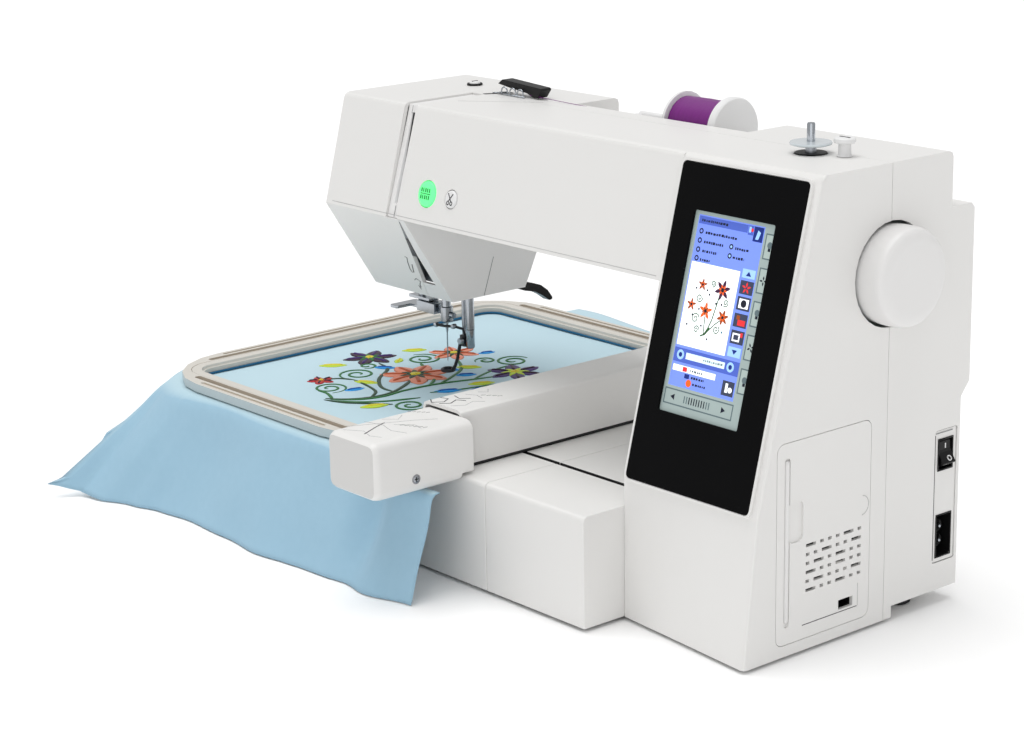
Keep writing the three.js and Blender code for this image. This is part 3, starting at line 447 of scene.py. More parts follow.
SECOND = {'inlet_plate': (BLACK,), 'hoop_outer': (HOOP_D, HOOP_PAINTED_REFLECTION), 'hoop_inner': (HOOP_PAINTED_LIGHT,), 'bed_cover_left': (DARK,),
          'bed_cover_right': (DARK,), 'arm_end_box': (WHITE_PAINTED_SHADE,), 'thread_channel': (SLOT_PAINTED_GLOW,)}


def second(name, c, n):
    """Which of a CAD node's materials a face takes, by the place of the face: 0 is the main one."""
    x, y, z = c.x * 1000 - SX, c.y * 1000 - SY, c.z * 1000 - SZ
    if name == 'inlet_plate':
        return int(x < -1.2)
    if name == 'hoop_outer':
        qx, qy = abs(x + 453) - 79.7, abs(y - 126.3) - 112
        d = math.hypot(max(qx, 0), max(qy, 0)) + min(max(qx, qy), 0) - 64
        # the outer wall beside the cloth takes the painted blue reflection
        if d > -1.2 and abs(n.z) < 0.5:
            return 2
        return int(84.2 < z < 88.6 and -594 < x < -312 and -47 < y < 299.5)
    if name == 'hoop_inner':
        # the upper band of the inner wall takes the lighter copy: painted light
        return int(86.8 < z < 88.7)
    if name in ('bed_cover_left', 'bed_cover_right'):
        return int(39.3 < y < 43.8 and z < 77.1 and -404 < x < -126 and abs(n.z) < 0.5)
    if name == 'thread_channel':
        # the take-up slot's side walls glow: painted light against their shade
        return int(-407 < x < -403 and abs(n.x) > 0.9 and y < 95 and z > 230)
    if name == 'arm_end_box':
        # the end box's front face takes the darker white: painted shade
        return int(n.y < -0.9)
    return 0


for name, ob in NODES.items():
    me = ob.data
    drop_normals(me)
    me.materials.clear()
    me.materials.append(NODE_MAT[name])
    if name in SECOND:
        for extra in SECOND[name]:
            me.materials.append(extra)
    for p in me.polygons:
        p.use_smooth = True
        p.material_index = second(name, p.center, p.normal) if name in SECOND else 0
    w, s = BEVELS.get(name, (0, 0))
    soften(ob, w, s)
    if not w:
        es = ob.modifiers.new("edges", 'EDGE_SPLIT')
        es.split_angle = math.radians(34)
        ob.modifiers.move(len(ob.modifiers) - 1, 2)


# ---------------------------------------------------------------- mesh tools
def obj(name, verts, faces, mats, body=None, smooth=True, fm=None, uvs=None):
    me = bpy.data.meshes.new(name)
    me.from_pydata([tuple(v) for v in verts], [], faces)
    for m in (mats if isinstance(mats, (list, tuple)) else [mats]):
        me.materials.append(m)
    if fm:
        for p, i in zip(me.polygons, fm):
            p.material_index = i
    for p in me.polygons:
        p.use_smooth = smooth
    if uvs:
        layer = me.uv_layers.new(name="cloth")
        for lp in me.loops:
            layer.data[lp.index].uv = uvs[lp.vertex_index]
    me.validate()
    me.update()
    ob = bpy.data.objects.new(name, me)
    scene.collection.objects.link(ob)
    if body:
        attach(ob, body)
    return ob


class Build:
    """Collects closed bits of several colours into one mesh."""
    def __init__(self):
        self.v, self.f, self.m, self.mats = [], [], [], []

    def mat(self, m):
        if m not in self.mats:
            self.mats.append(m)
        return self.mats.index(m)

    def add(self, verts, faces, m):
        k, n = self.mat(m), len(self.v)
        self.v += [tuple(v) for v in verts]
        for f in faces:
            self.f.append([i + n for i in f])
            self.m.append(k)

    def slab(self, pts, h, m, normal):
        """A flat polygon with a small height, top and sides, closed."""
        n = len(pts)
        top = [Vector(p) + Vector(normal) * (h / 1000) for p in pts]
        self.add(list(pts) + top, [list(range(n, 2 * n)), list(range(n))[::-1]] + [[i, (i + 1) % n, (i + 1) % n + n, i + n] for i in range(n)], m)

    def tube(self, pts, r, m, sides=8, squash=1.0, up=Vector((0, 0, 1)), taper=None):
        """A round strand along points in the frame, r in mm, closed at its ends."""
        pts = [Vector(p) for p in pts]
        rings = []
        for i, p in enumerate(pts):
            a, b = pts[max(0, i - 1)], pts[min(len(pts) - 1, i + 1)]
            t = (b - a).normalized()
            u = up if abs(t.dot(up)) < 0.95 else Vector((0, 1, 0))
            s = t.cross(u).normalized()
            w = s.cross(t).normalized()
            rr = r / 1000 * (taper(i / (len(pts) - 1)) if taper else 1)
            rings.append([p + s * (rr * math.cos(2 * math.pi * k / sides)) + w * (rr * squash * math.sin(2 * math.pi * k / sides)) for k in range(sides)])
        v = [q for ring in rings for q in ring]
        f = []
        for i in range(len(rings) - 1):
            for k in range(sides):
                a, b = i * sides + k, i * sides + (k + 1) % sides
                f.append([a, b, b + sides, a + sides])
        f.append(list(range(sides))[::-1])
        f.append([len(v) - sides + k for k in range(sides)])
        self.add(v, f, m)

    def lathe(self, prof, at, axis, m, sides=32):
        """A closed (radius, along) outline turned about an axis through at, all in mm."""
        v, f, n = [], [], len(prof)
        for i in range(sides):
            c, d = math.cos(2 * math.pi * i / sides), math.sin(2 * math.pi * i / sides)
            for r, h in prof:
                r = max(r, 0.01)
                v.append(P(*{'x': (h, at[1] + r * c, at[2] + r * d), 'y': (at[0] + r * c, h, at[2] + r * d), 'z': (at[0] + r * c, at[1] + r * d, h)}[axis]))
        for i in range(sides):
            j = (i + 1) % sides
            for k in range(n):
                f.append([n * i + k, n * j + k, n * j + (k + 1) % n, n * i + (k + 1) % n])
        self.add(v, f, m)

    def block(self, x0, x1, y0, y1, z0, z1, m):
        self.slab([P(x0, y0, z0), P(x1, y0, z0), P(x1, y1, z0), P(x0, y1, z0)], z1 - z0, m, Vector((0, 0, 1)))

    def done(self, name, body, smooth=True):
        ob = obj(name, self.v, self.f, self.mats, body, smooth, self.m)
        bm = bmesh.new()
        bm.from_mesh(ob.data)
        bmesh.ops.recalc_face_normals(bm, faces=bm.faces)
        bm.to_mesh(ob.data)
        bm.free()
        return ob


def clean_copy(name):
    src = NODES[name]
    me = src.data.copy()
    bm = bmesh.new()
    bm.from_mesh(me)
    bmesh.ops.remove_doubles(bm, verts=bm.verts, dist=0.000004)
    bmesh.ops.dissolve_limit(bm, angle_limit=math.radians(0.4), verts=bm.verts, edges=bm.edges, delimit=set())
    bm.to_mesh(me)
    bm.free()
    ob = bpy.data.objects.new(name + "_copy", me)
    scene.collection.objects.link(ob)
    return ob


def boolean(a, b, op='UNION', keep=False):
    m = a.modifiers.new("b", 'BOOLEAN')
    m.operation = op
    m.solver = 'EXACT'
    m.object = b
    bpy.context.view_layer.update()
    dg = bpy.context.evaluated_depsgraph_get()
    me = bpy.data.meshes.new_from_object(a.evaluated_get(dg))
    a.modifiers.remove(m)
    a.data = me
    if not keep:
        bpy.data.objects.remove(b)
    return a


def join_shells(name, one, other, seam_x, body, width=0.9):
    """One moulded shell where two CAD covers meet at x = seam_x."""
    a, b = clean_copy(one), clean_copy(other)
    lim = P(seam_x, 0, 0).x
    for v in b.data.vertices:
        if v.co.x > lim - 0.0006:
            v.co.x = lim + 0.0001
    boolean(a, b)
    bm = bmesh.new()
    bm.from_mesh(a.data)
    bmesh.ops.remove_doubles(bm, verts=bm.verts, dist=0.00001)
    bmesh.ops.dissolve_limit(bm, angle_limit=math.radians(0.6), verts=bm.verts, edges=bm.edges, delimit=set())
    bm.to_mesh(a.data)
    bm.free()
    a.name = a.data.name = name
    a.data.materials.clear()
    a.data.materials.append(WHITE)
    for p in a.data.polygons:
        p.use_smooth = True
        p.material_index = 0
    soften(a, width, 3, weld=False)
    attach(a, body)
    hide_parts(one, other)
    return a


join_shells("front_shell", "column_front_cover", "arm_front_cover", -120.5, "machine")
join_shells("rear_shell", "column_rear_cover", "arm_rear_cover", -120.5, "machine")


# ------------------------------------------------------------------ the screen
def ui():
    b = Build()
    blue, blue_l, blue_d, navy = lit("ui_blue", srgb(112, 136, 226)), lit("ui_pale", srgb(205, 226, 232), 0.6), lit("ui_bar", srgb(70, 92, 178)), lit("ui_navy", srgb(22, 42, 120), 0.4)
    white, ink, grey, line = lit("ui_white", srgb(238, 242, 246), 0.7), lit("ui_ink", srgb(24, 28, 44), 0.2), lit("ui_tab", srgb(158, 172, 168), 0.4), lit("ui_line", srgb(92, 108, 112), 0.3)
    red, orange, slate, sky = lit("ui_red", srgb(214, 48, 52)), lit("ui_orange", srgb(236, 92, 30)), lit("ui_slate", srgb(58, 64, 86), 0.3), lit("ui_sky", srgb(150, 190, 236))
    green, brown, purple, teal = lit("ui_green", srgb(52, 96, 52), 0.3), lit("ui_brown", srgb(150, 70, 24), 0.4), lit("ui_purple", srgb(66, 30, 60), 0.3), lit("ui_teal", srgb(40, 110, 130), 0.35)

    def q(u, v, layer):
        return F(-99.8 + 71 * u, 49.8 - 130 * v, 0.02 + 0.04 * layer)

    def poly(pts, layer, m):
        b.slab([q(u, v, layer) for u, v in pts], 0.03, m, EN)

    def rect(u0, v0, u1, v1, layer, m):
        poly([(u0, v1), (u1, v1), (u1, v0), (u0, v0)], layer, m)

    def outline(u0, v0, u1, v1, t, layer, m):
        tv = t * 71 / 130
        rect(u0, v0, u1, v0 + tv, layer, m)
        rect(u0, v1 - tv, u1, v1, layer, m)
        rect(u0, v0 + tv, u0 + t, v1 - tv, layer, m)
        rect(u1 - t, v0 + tv, u1, v1 - tv, layer, m)

    def disc(u, v, r, layer, m, n=16):
        poly([(u + r * math.cos(2 * math.pi * k / n), v - r * 71 / 130 * math.sin(2 * math.pi * k / n)) for k in range(n)], layer, m)

    def petals(u, v, r, layer, m, k=5, rot=0.3, fat=0.34):
        for i in range(k):
            a = rot + 2 * math.pi * i / k
            pts = []
            for t, w in ((0.12, 0.0), (0.45, 1), (0.7, 0.85), (1, 0), (0.7, -0.85), (0.45, -1)):
                x = r * (t * math.cos(a) - fat * w * math.sin(a) * 0.55)
                y = r * (t * math.sin(a) + fat * w * math.cos(a) * 0.55)
                pts.append((u + x, v - y * 71 / 130))
            poly(pts, layer, m)

    def stroke(pts, w, layer, m):
        for (u0, v0), (u1, v1) in zip(pts, pts[1:]):
            dx, dy = (u1 - u0), (v1 - v0) * 130 / 71
            L = math.hypot(dx, dy) or 1
            nx, ny = -dy / L * w / 2, dx / L * w / 2 * 71 / 130
            poly([(u0 - nx, v0 - ny), (u1 - nx, v1 - ny), (u1 + nx, v1 + ny), (u0 + nx, v0 + ny)], layer, m)

    def curl(u, v, r, turns, rot, w, layer, m, flip=1):
        pts = []
        for i in range(15):
            t = i / 14
            a = rot + flip * turns * 2 * math.pi * t
            rr = r * (1 - 0.85 * t)
            pts.append((u + rr * math.cos(a), v - rr * 71 / 130 * math.sin(a)))
        stroke(pts, w, layer, m)

    def words(u0, u1, v, h, m, seed):
        """Row of short strokes in place of writing."""
        rnd = random.Random(seed)
        u = u0
        while u < u1:
            w = rnd.uniform(0.012, 0.03)
            rect(u, v - h / 2 * rnd.uniform(0.6, 1), min(u + w, u1), v + h / 2 * rnd.uniform(0.7, 1), 2, m)
            u += w + rnd.uniform(0.006, 0.012)

    rect(0.045, 0.018, 0.86, 0.868, 0, blue)
    rect(0.055, 0.024, 0.66, 0.062, 1, blue_d)
    words(0.09, 0.42, 0.044, 0.013, ink, 1)
    rect(0.665, 0.024, 0.73, 0.07, 1, blue_d)
    rect(0.675, 0.03, 0.70, 0.058, 2, sky)
    disc(0.715, 0.045, 0.016, 2, red)
    rect(0.735, 0.024, 0.85, 0.096, 1, navy)
    poly([(0.765, 0.085), (0.8, 0.085), (0.82, 0.05), (0.785, 0.04)], 2, sky)
    for i, (v, a0, a1, c0, c1) in enumerate(((0.097, 0.16, 0.55, 0, 0), (0.143, 0.16, 0.40, 0.55, 0.72), (0.188, 0.16, 0.34, 0.54, 0.68), (0.231, 0.15, 0.28, 0, 0))):
        disc(0.105, v, 0.026, 1, ink)
        disc(0.105, v, 0.013, 2, blue)
        words(a0, a1, v + 0.004, 0.014, ink, 10 + i)
        if c0:
            disc(0.50, v, 0.025, 1, ink)
            disc(0.50, v, 0.012, 2, sky)
            words(c0, c1, v + 0.004, 0.014, ink, 20 + i)
    rect(0.058, 0.25, 0.662, 0.664, 1, white)
    # a made-up sprig on the preview
    for (u, v, r, m, k) in ((0.245, 0.352, 0.06, brown, 5), (0.495, 0.357, 0.098, purple, 6), (0.15, 0.458, 0.062, brown, 5), (0.335, 0.474, 0.085, orange, 5), (0.555, 0.487, 0.075, brown, 6)):
        petals(u, v, r, 3, m, k)
        petals(u, v, r * 0.55, 4, orange if m is not orange else brown, k, 0.9)
        disc(u, v, r * 0.2, 5, ink)
    stroke([(0.36, 0.593), (0.40, 0.555), (0.43, 0.51), (0.45, 0.45), (0.47, 0.39)], 0.012, 2, green)
    stroke([(0.36, 0.593), (0.41, 0.565), (0.47, 0.53), (0.54, 0.50)], 0.010, 2, green)
    stroke([(0.36, 0.593), (0.35, 0.55), (0.34, 0.50)], 0.010, 2, green)
    stroke([(0.32, 0.60), (0.38, 0.585), (0.42, 0.55)], 0.014, 2, green)
    for (u, v, r, rot, fl) in ((0.371, 0.336, 0.032, 4.6, 1), (0.234, 0.418, 0.042, 0.2, -1), (0.56, 0.415, 0.036, 4, 1), (0.225, 0.52, 0.05, 0.2, 1), (0.50, 0.552, 0.042, 1, -1), (0.262, 0.572, 0.036, 0, 1)):
        curl(u, v, r, 1.6, rot, 0.009, 2, green, fl)
    for (u, v) in ((0.16, 0.375), (0.30, 0.37), (0.44, 0.42), (0.34, 0.40), (0.17, 0.51), (0.42, 0.60), (0.58, 0.55), (0.30, 0.545), (0.13, 0.55), (0.52, 0.435), (0.26, 0.465)):
        petals(u, v, 0.028, 3, teal if (u * 100) % 2 > 1 else ink, 1, u * 40, 0.7)
    # right-hand buttons
    rect(0.69, 0.232, 0.845, 0.275, 1, sky)
    poly([(0.735, 0.265), (0.80, 0.265), (0.767, 0.242)], 2, navy)
    for i, v in enumerate((0.288, 0.366, 0.448, 0.530)):
        rect(0.69, v, 0.85, v + 0.066, 1, slate)
        if i == 0:
            petals(0.77, v + 0.035, 0.055, 2, red, 5)
        elif i == 1:
            rect(0.715, v + 0.010, 0.83, v + 0.056, 2, white)
            disc(0.772, v + 0.033, 0.035, 3, ink)
        elif i == 2:
            rect(0.74, v + 0.030, 0.83, v + 0.058, 2, red)
            rect(0.72, v + 0.010, 0.76, v + 0.030, 2, brown)
        else:
            outline(0.71, v + 0.014, 0.80, v + 0.054, 0.014, 2, white)
            rect(0.80, v + 0.008, 0.83, v + 0.03, 2, red)
    rect(0.69, 0.612, 0.845, 0.660, 1, sky)
    poly([(0.735, 0.625), (0.80, 0.625), (0.767, 0.648)], 2, navy)
    # progress bar, colour list, scroll strip
    rect(0.05, 0.678, 0.86, 0.748, 1, blue_d)
    rect(0.20, 0.695, 0.685, 0.727, 2, blue_l)
    words(0.42, 0.66, 0.711, 0.012, line, 31)
    for u in (0.13, 0.755):
        disc(u, 0.711, 0.045, 2, sky)
        disc(u, 0.711, 0.022, 3, navy)
    rect(0.065, 0.762, 0.60, 0.792, 1, white)
    rect(0.19, 0.766, 0.245, 0.789, 2, red)
    words(0.28, 0.44, 0.778, 0.012, line, 32)
    rect(0.225, 0.798, 0.285, 0.82, 1, navy)
    words(0.31, 0.47, 0.81, 0.012, ink, 33)
    disc(0.29, 0.84, 0.034, 1, orange)
    words(0.34, 0.50, 0.84, 0.012, ink, 34)
    rect(0.70, 0.778, 0.845, 0.85, 1, slate)
    rect(0.74, 0.79, 0.77, 0.835, 2, white)
    disc(0.80, 0.82, 0.025, 2, white)
    for i, v in enumerate((0.045, 0.21, 0.372, 0.535, 0.70)):
        rect(0.885, v, 0.995, v + 0.125, 0, grey)
        outline(0.885, v, 1.0, v + 0.125, 0.012, 1, line)
        if i % 2:
            petals(0.95, v + 0.062, 0.045, 2, ink, 4, 0.6 + i)
        else:
            disc(0.95, v + 0.055, 0.03, 2, line)
            rect(0.935, v + 0.07, 0.965, v + 0.085, 2, ink)
    outline(0.02, 0.882, 0.88, 0.962, 0.012, 1, line)
    poly([(0.10, 0.922), (0.15, 0.907), (0.15, 0.937)], 1, ink)
    poly([(0.74, 0.907), (0.79, 0.922), (0.74, 0.937)], 1, ink)
    for i in range(11):
        rect(0.27 + i * 0.031, 0.905, 0.282 + i * 0.031, 0.94, 1, line if i in (0, 1, 9, 10) else ink)
    return b.done("screen_picture", "machine", smooth=False)


ui()


# --------------------------------------------------------------------- cloth
HX, HY, HW, HL = -453.0, 126.3, 236.0, 300.6      # hoop centre and opening
RING = 25.7                                       # width of the two rings together
X0, X1, Y0, Y1 = HX - HW / 2 - RING, HX + HW / 2 + RING, HY - HL / 2 - RING, HY + HL / 2 + RING
ZC = 80.9                                         # cloth in the hoop


def lerp(a, b, t):
    return a + (b - a) * t


def table_at(pts, x):
    if x <= pts[0][0]:
        return pts[0][1]
    for (x0, y0), (x1, y1) in zip(pts, pts[1:]):
        if x <= x1:
            t = (x - x0) / (x1 - x0)
            t = t * t * (3 - 2 * t)
            return lerp(y0, y1, t)
    return pts[-1][1]


def cloth():
    """The cotton: flat under the rings, then down over their edge in front and on the left."""
    R = 63.0
    path = []        # outline of the rings, from the front right end clockwise: (x, y, kind)
    n_front, n_corner, n_left = 90, 30, 66
    xr = -237.0
    for i in range(n_front + 1):
        path.append((lerp(xr, X0 + R, i / n_front), Y0))
    for i in range(1, n_corner + 1):
        a = -math.pi / 2 - math.pi / 2 * i / n_corner
        path.append((X0 + R + R * math.cos(a), Y0 + R + R * math.sin(a)))
    for i in range(1, n_left + 1):
        path.append((X0, lerp(Y0 + R, Y1 - R, i / n_left)))
    for i in range(1, n_corner + 1):
        a = math.pi - math.pi / 2 * i / n_corner
        path.append((X0 + R + R * math.cos(a), Y1 - R + R * math.sin(a)))
    n_back = 60
    for i in range(1, n_back + 1):
        path.append((lerp(X0 + R, -303.0, i / n_back), Y1))
    # where the lower hem is, over the outline's length
    hem_front = [(-660, -128), (-613, -124), (-590, -112), (-553, -98), (-526, -91), (-484, -87), (-440, -90), (-400, -93), (-365, -92), (-325, -84), (-303, -83), (-278, -87), (-237, -76)]
    s = [0.0]
    for a, b in zip(path, path[1:]):
        s.append(s[-1] + math.hypot(b[0] - a[0], b[1] - a[1]))
    nv = 26
    verts, uvs, col = [], [], []
    c0, c1 = n_front, n_front + n_corner            # corner columns
    l1 = c1 + n_left
    b0 = l1 + n_corner
    for k, (x, y) in enumerate(path):
        if k <= c0:                                  # front
            bx, by, bz = x - 4.0 * (1 - k / c0) * 0 - 0.0, table_at(hem_front, x), -1.6
            t = max(0.0, (k / c0 - 0.55) / 0.45)
            bx = x - 44 * t * t * t
            by = table_at(hem_front, bx)
            top = ZC
            if x > -318:
                top = lerp(ZC, 72.0, min(1, (x + 318) / 18))
            out = (0, -1)
            bulge = 5.5
        elif k <= c1:                                # front left corner fans out to a point
            t = (k - c0) / n_corner
            a = -math.pi / 2 - math.pi / 2 * t
            hx = X0 + R - 44
            legs = ((0.0, hx, table_at(hem_front, hx), -1.6, 0), (0.40, -603, -119, 1.5, 0), (0.5, -619, -139, 4.0, 1), (0.60, -606, -113, 12, 0), (1.0, -611, -84, 40, 0))
            for (t0, xa, ya, za, _), (t1, xb, yb, zb, _) in zip(legs, legs[1:]):
                if t0 <= t <= t1 + 1e-9:
                    u = (t - t0) / (t1 - t0)
                    bx, by, bz = lerp(xa, xb, u), lerp(ya, yb, u), lerp(za, zb, u)
                    break
            top = ZC
            out = (math.cos(a), math.sin(a))
            bulge = lerp(5.5, 11.0, t)
        elif k <= l1:                                # left side
            t = (k - c1) / n_left
            bx = -609 + 2 * math.sin(t * 9)
            by = lerp(-84, y, min(1, t * 5)) if t < 0.2 else y
            bz = lerp(40, 30, min(1, t * 4)) + 3 * math.sin(t * 7)
            top, out, bulge = ZC, (-1, 0), 11.0
        elif k <= b0:
            t = (k - l1) / n_corner
            a = math.pi - math.pi / 2 * t
            bx, by = x + 14 * math.cos(a) + 14 * math.sin(a) * 0, y + lerp(0, 36, t)
            bz = lerp(30 + 3 * math.sin(7), 78, t * t)
            top, out, bulge = ZC, (math.cos(a), math.sin(a)), lerp(11.0, 1.5, t)
        else:                                        # behind: a strip that droops a little
            t = (k - b0) / n_back
            bx, by, bz = x, y + lerp(36, 39.5, min(1, t * 1.6)) + 1.2 * math.sin(t * 11), 78 + 2.2 * math.sin(t * 8 + 1)
            top, out, bulge = ZC, (0, 1), 1.0
        for j in range(nv + 1):
            v = j / nv
            # a short soft turn over the edge, then a nearly straight fall
            px, py, pz = lerp(x, bx, v), lerp(y, by, v), lerp(top, bz, v)
            g = bulge * (v / 0.10) * math.exp(1 - v / 0.10)
            g2 = bulge * 0.9 * math.sin(math.pi * v) ** 2
            px += out[0] * (g * 0.75 + g2 * 0.4)
            py += out[1] * (g * 0.75 + g2 * 0.4)
            pz += g * (0.55 if k <= c0 else 0.32)
            if c0 < k <= c1 and v > 0.90:            # the corner's tip curls up a little
                tip = math.exp(-(((k - c0) / n_corner - 0.5) / 0.07) ** 2) * (v - 0.90) / 0.10
                pz += 4.5 * tip
            # soft hanging folds that grow downwards
            w = v ** 1.4
            fold = 3.6 * math.sin(s[k] / 27.0 + 0.7) * math.sin(s[k] / 71.0) + 1.6 * math.sin(s[k] / 15.3 + 2.0) * math.sin(s[k] / 54.0 + 1)
            if k <= c1:
                deep = -10.5 * math.exp(-((s[k] - 60) / 15.0) ** 2) * math.sin(math.pi * min(1, v * 1.05)) + 4.5 * math.exp(-((s[k] - 96) / 20.0) ** 2) * v + 3.2 * math.sin((s[k] - 150) / 21.0) * math.exp(-((s[k] - 235) / 60.0) ** 2) * math.sin(math.pi * v)
                px += out[0] * (fold * w + deep)
                py += out[1] * (fold * w + deep)
            else:
                px += out[0] * fold * w * 0.3
            if j:
                nn = noise.noise(Vector((px / 34, py / 34, pz / 34)))
                px += out[0] * nn * 0.9
                py += out[1] * nn * 0.9
            pz = max(pz, -2.0)
            verts.append((px, py, pz))
            uvs.append((s[k] / 1000, v * 0.09))
    cols = len(path)
    faces = []
    for k in range(cols - 1):
        for j in range(nv):
            a = k * (nv + 1) + j
            b = a + nv + 1
            faces.append([a, b, b + 1, a + 1])
    # the flat field: rings of quads from the outline to the middle; its right side is the straight line x = -303
    first = next(k for k in range(cols) if path[k][0] <= -303.0)
    loop = [k * (nv + 1) for k in range(first, cols)]
    closing = []
    x_last, y_last = path[-1]
    x_first, y_first = path[first]
    n_right = 60
    for i in range(1, n_right):
        t = i / n_right
        verts.append((lerp(x_last, x_first, t), lerp(y_last, y_first, t), ZC))
        uvs.append((0.5, 0.2))
        closing.append(len(verts) - 1)
    loop += closing
    base = list(loop)
    cx, cy = HX, HY
    levels = [0.965, 0.93, 0.90, 0.86, 0.8, 0.72, 0.62, 0.5, 0.38, 0.26, 0.14, 0.05]
    prev = base
    for lv in levels:
        cur = []
        for i in base:
            x, y, z = verts[i]
            nx, ny = cx + (x - cx) * lv, cy + (y - cy) * lv
            z = ZC + 0.35 * noise.noise(Vector((nx / 60, ny / 60, 3.1))) * (0 if lv > 0.9 else 1)
            verts.append((nx, ny, z))
            uvs.append((0, 0))
            cur.append(len(verts) - 1)
        m = len(base)
        for i in range(m):
            faces.append([prev[i], prev[(i + 1) % m], cur[(i + 1) % m], cur[i]])
        prev = cur
    faces.append(prev[::-1])
    for i in range(cols * (nv + 1), len(verts)):
        uvs[i] = (verts[i][0] / 1000, verts[i][1] / 1000)
    for k in range(cols):
        for j in range(nv + 1):
            i = k * (nv + 1) + j
            if j == 0:
                uvs[i] = (verts[i][0] / 1000, verts[i][1] / 1000)
            else:
                px, py, pz = verts[i]
                uvs[i] = (px / 1000, (py + (pz - ZC) * (1 if k <= c1 else 0)) / 1000) if k <= c1 or k > l1 else ((px + (pz - ZC)) / 1000, py / 1000)
    # the upward-facing field gets a paler colour: painted light
    COTTON = weave("blue_cotton", srgb(160, 194, 213), srgb(142, 178, 199), painted_light_top=srgb(186, 212, 222))
    ob = obj("cloth_sheet", [P(*v) for v in verts], faces, COTTON, None, True, None, uvs)
    bm = bmesh.new()
    bm.from_mesh(ob.data)
    bmesh.ops.recalc_face_normals(bm, faces=bm.faces)
    up = sum(f.normal.z for f in bm.faces)
    if up < 0:
        bmesh.ops.reverse_faces(bm, faces=bm.faces)
    area = sum(f.calc_area() for f in bm.faces)
    bm.to_mesh(ob.data)
    bm.free()
    so = ob.modifiers.new("thickness", 'SOLIDIFY')
    so.thickness = 0.0005
    so.offset = 0
    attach(ob, "hoop")
    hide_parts("cloth")
    return ob, area


cloth_ob, cloth_area = cloth()
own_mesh(cloth_ob)


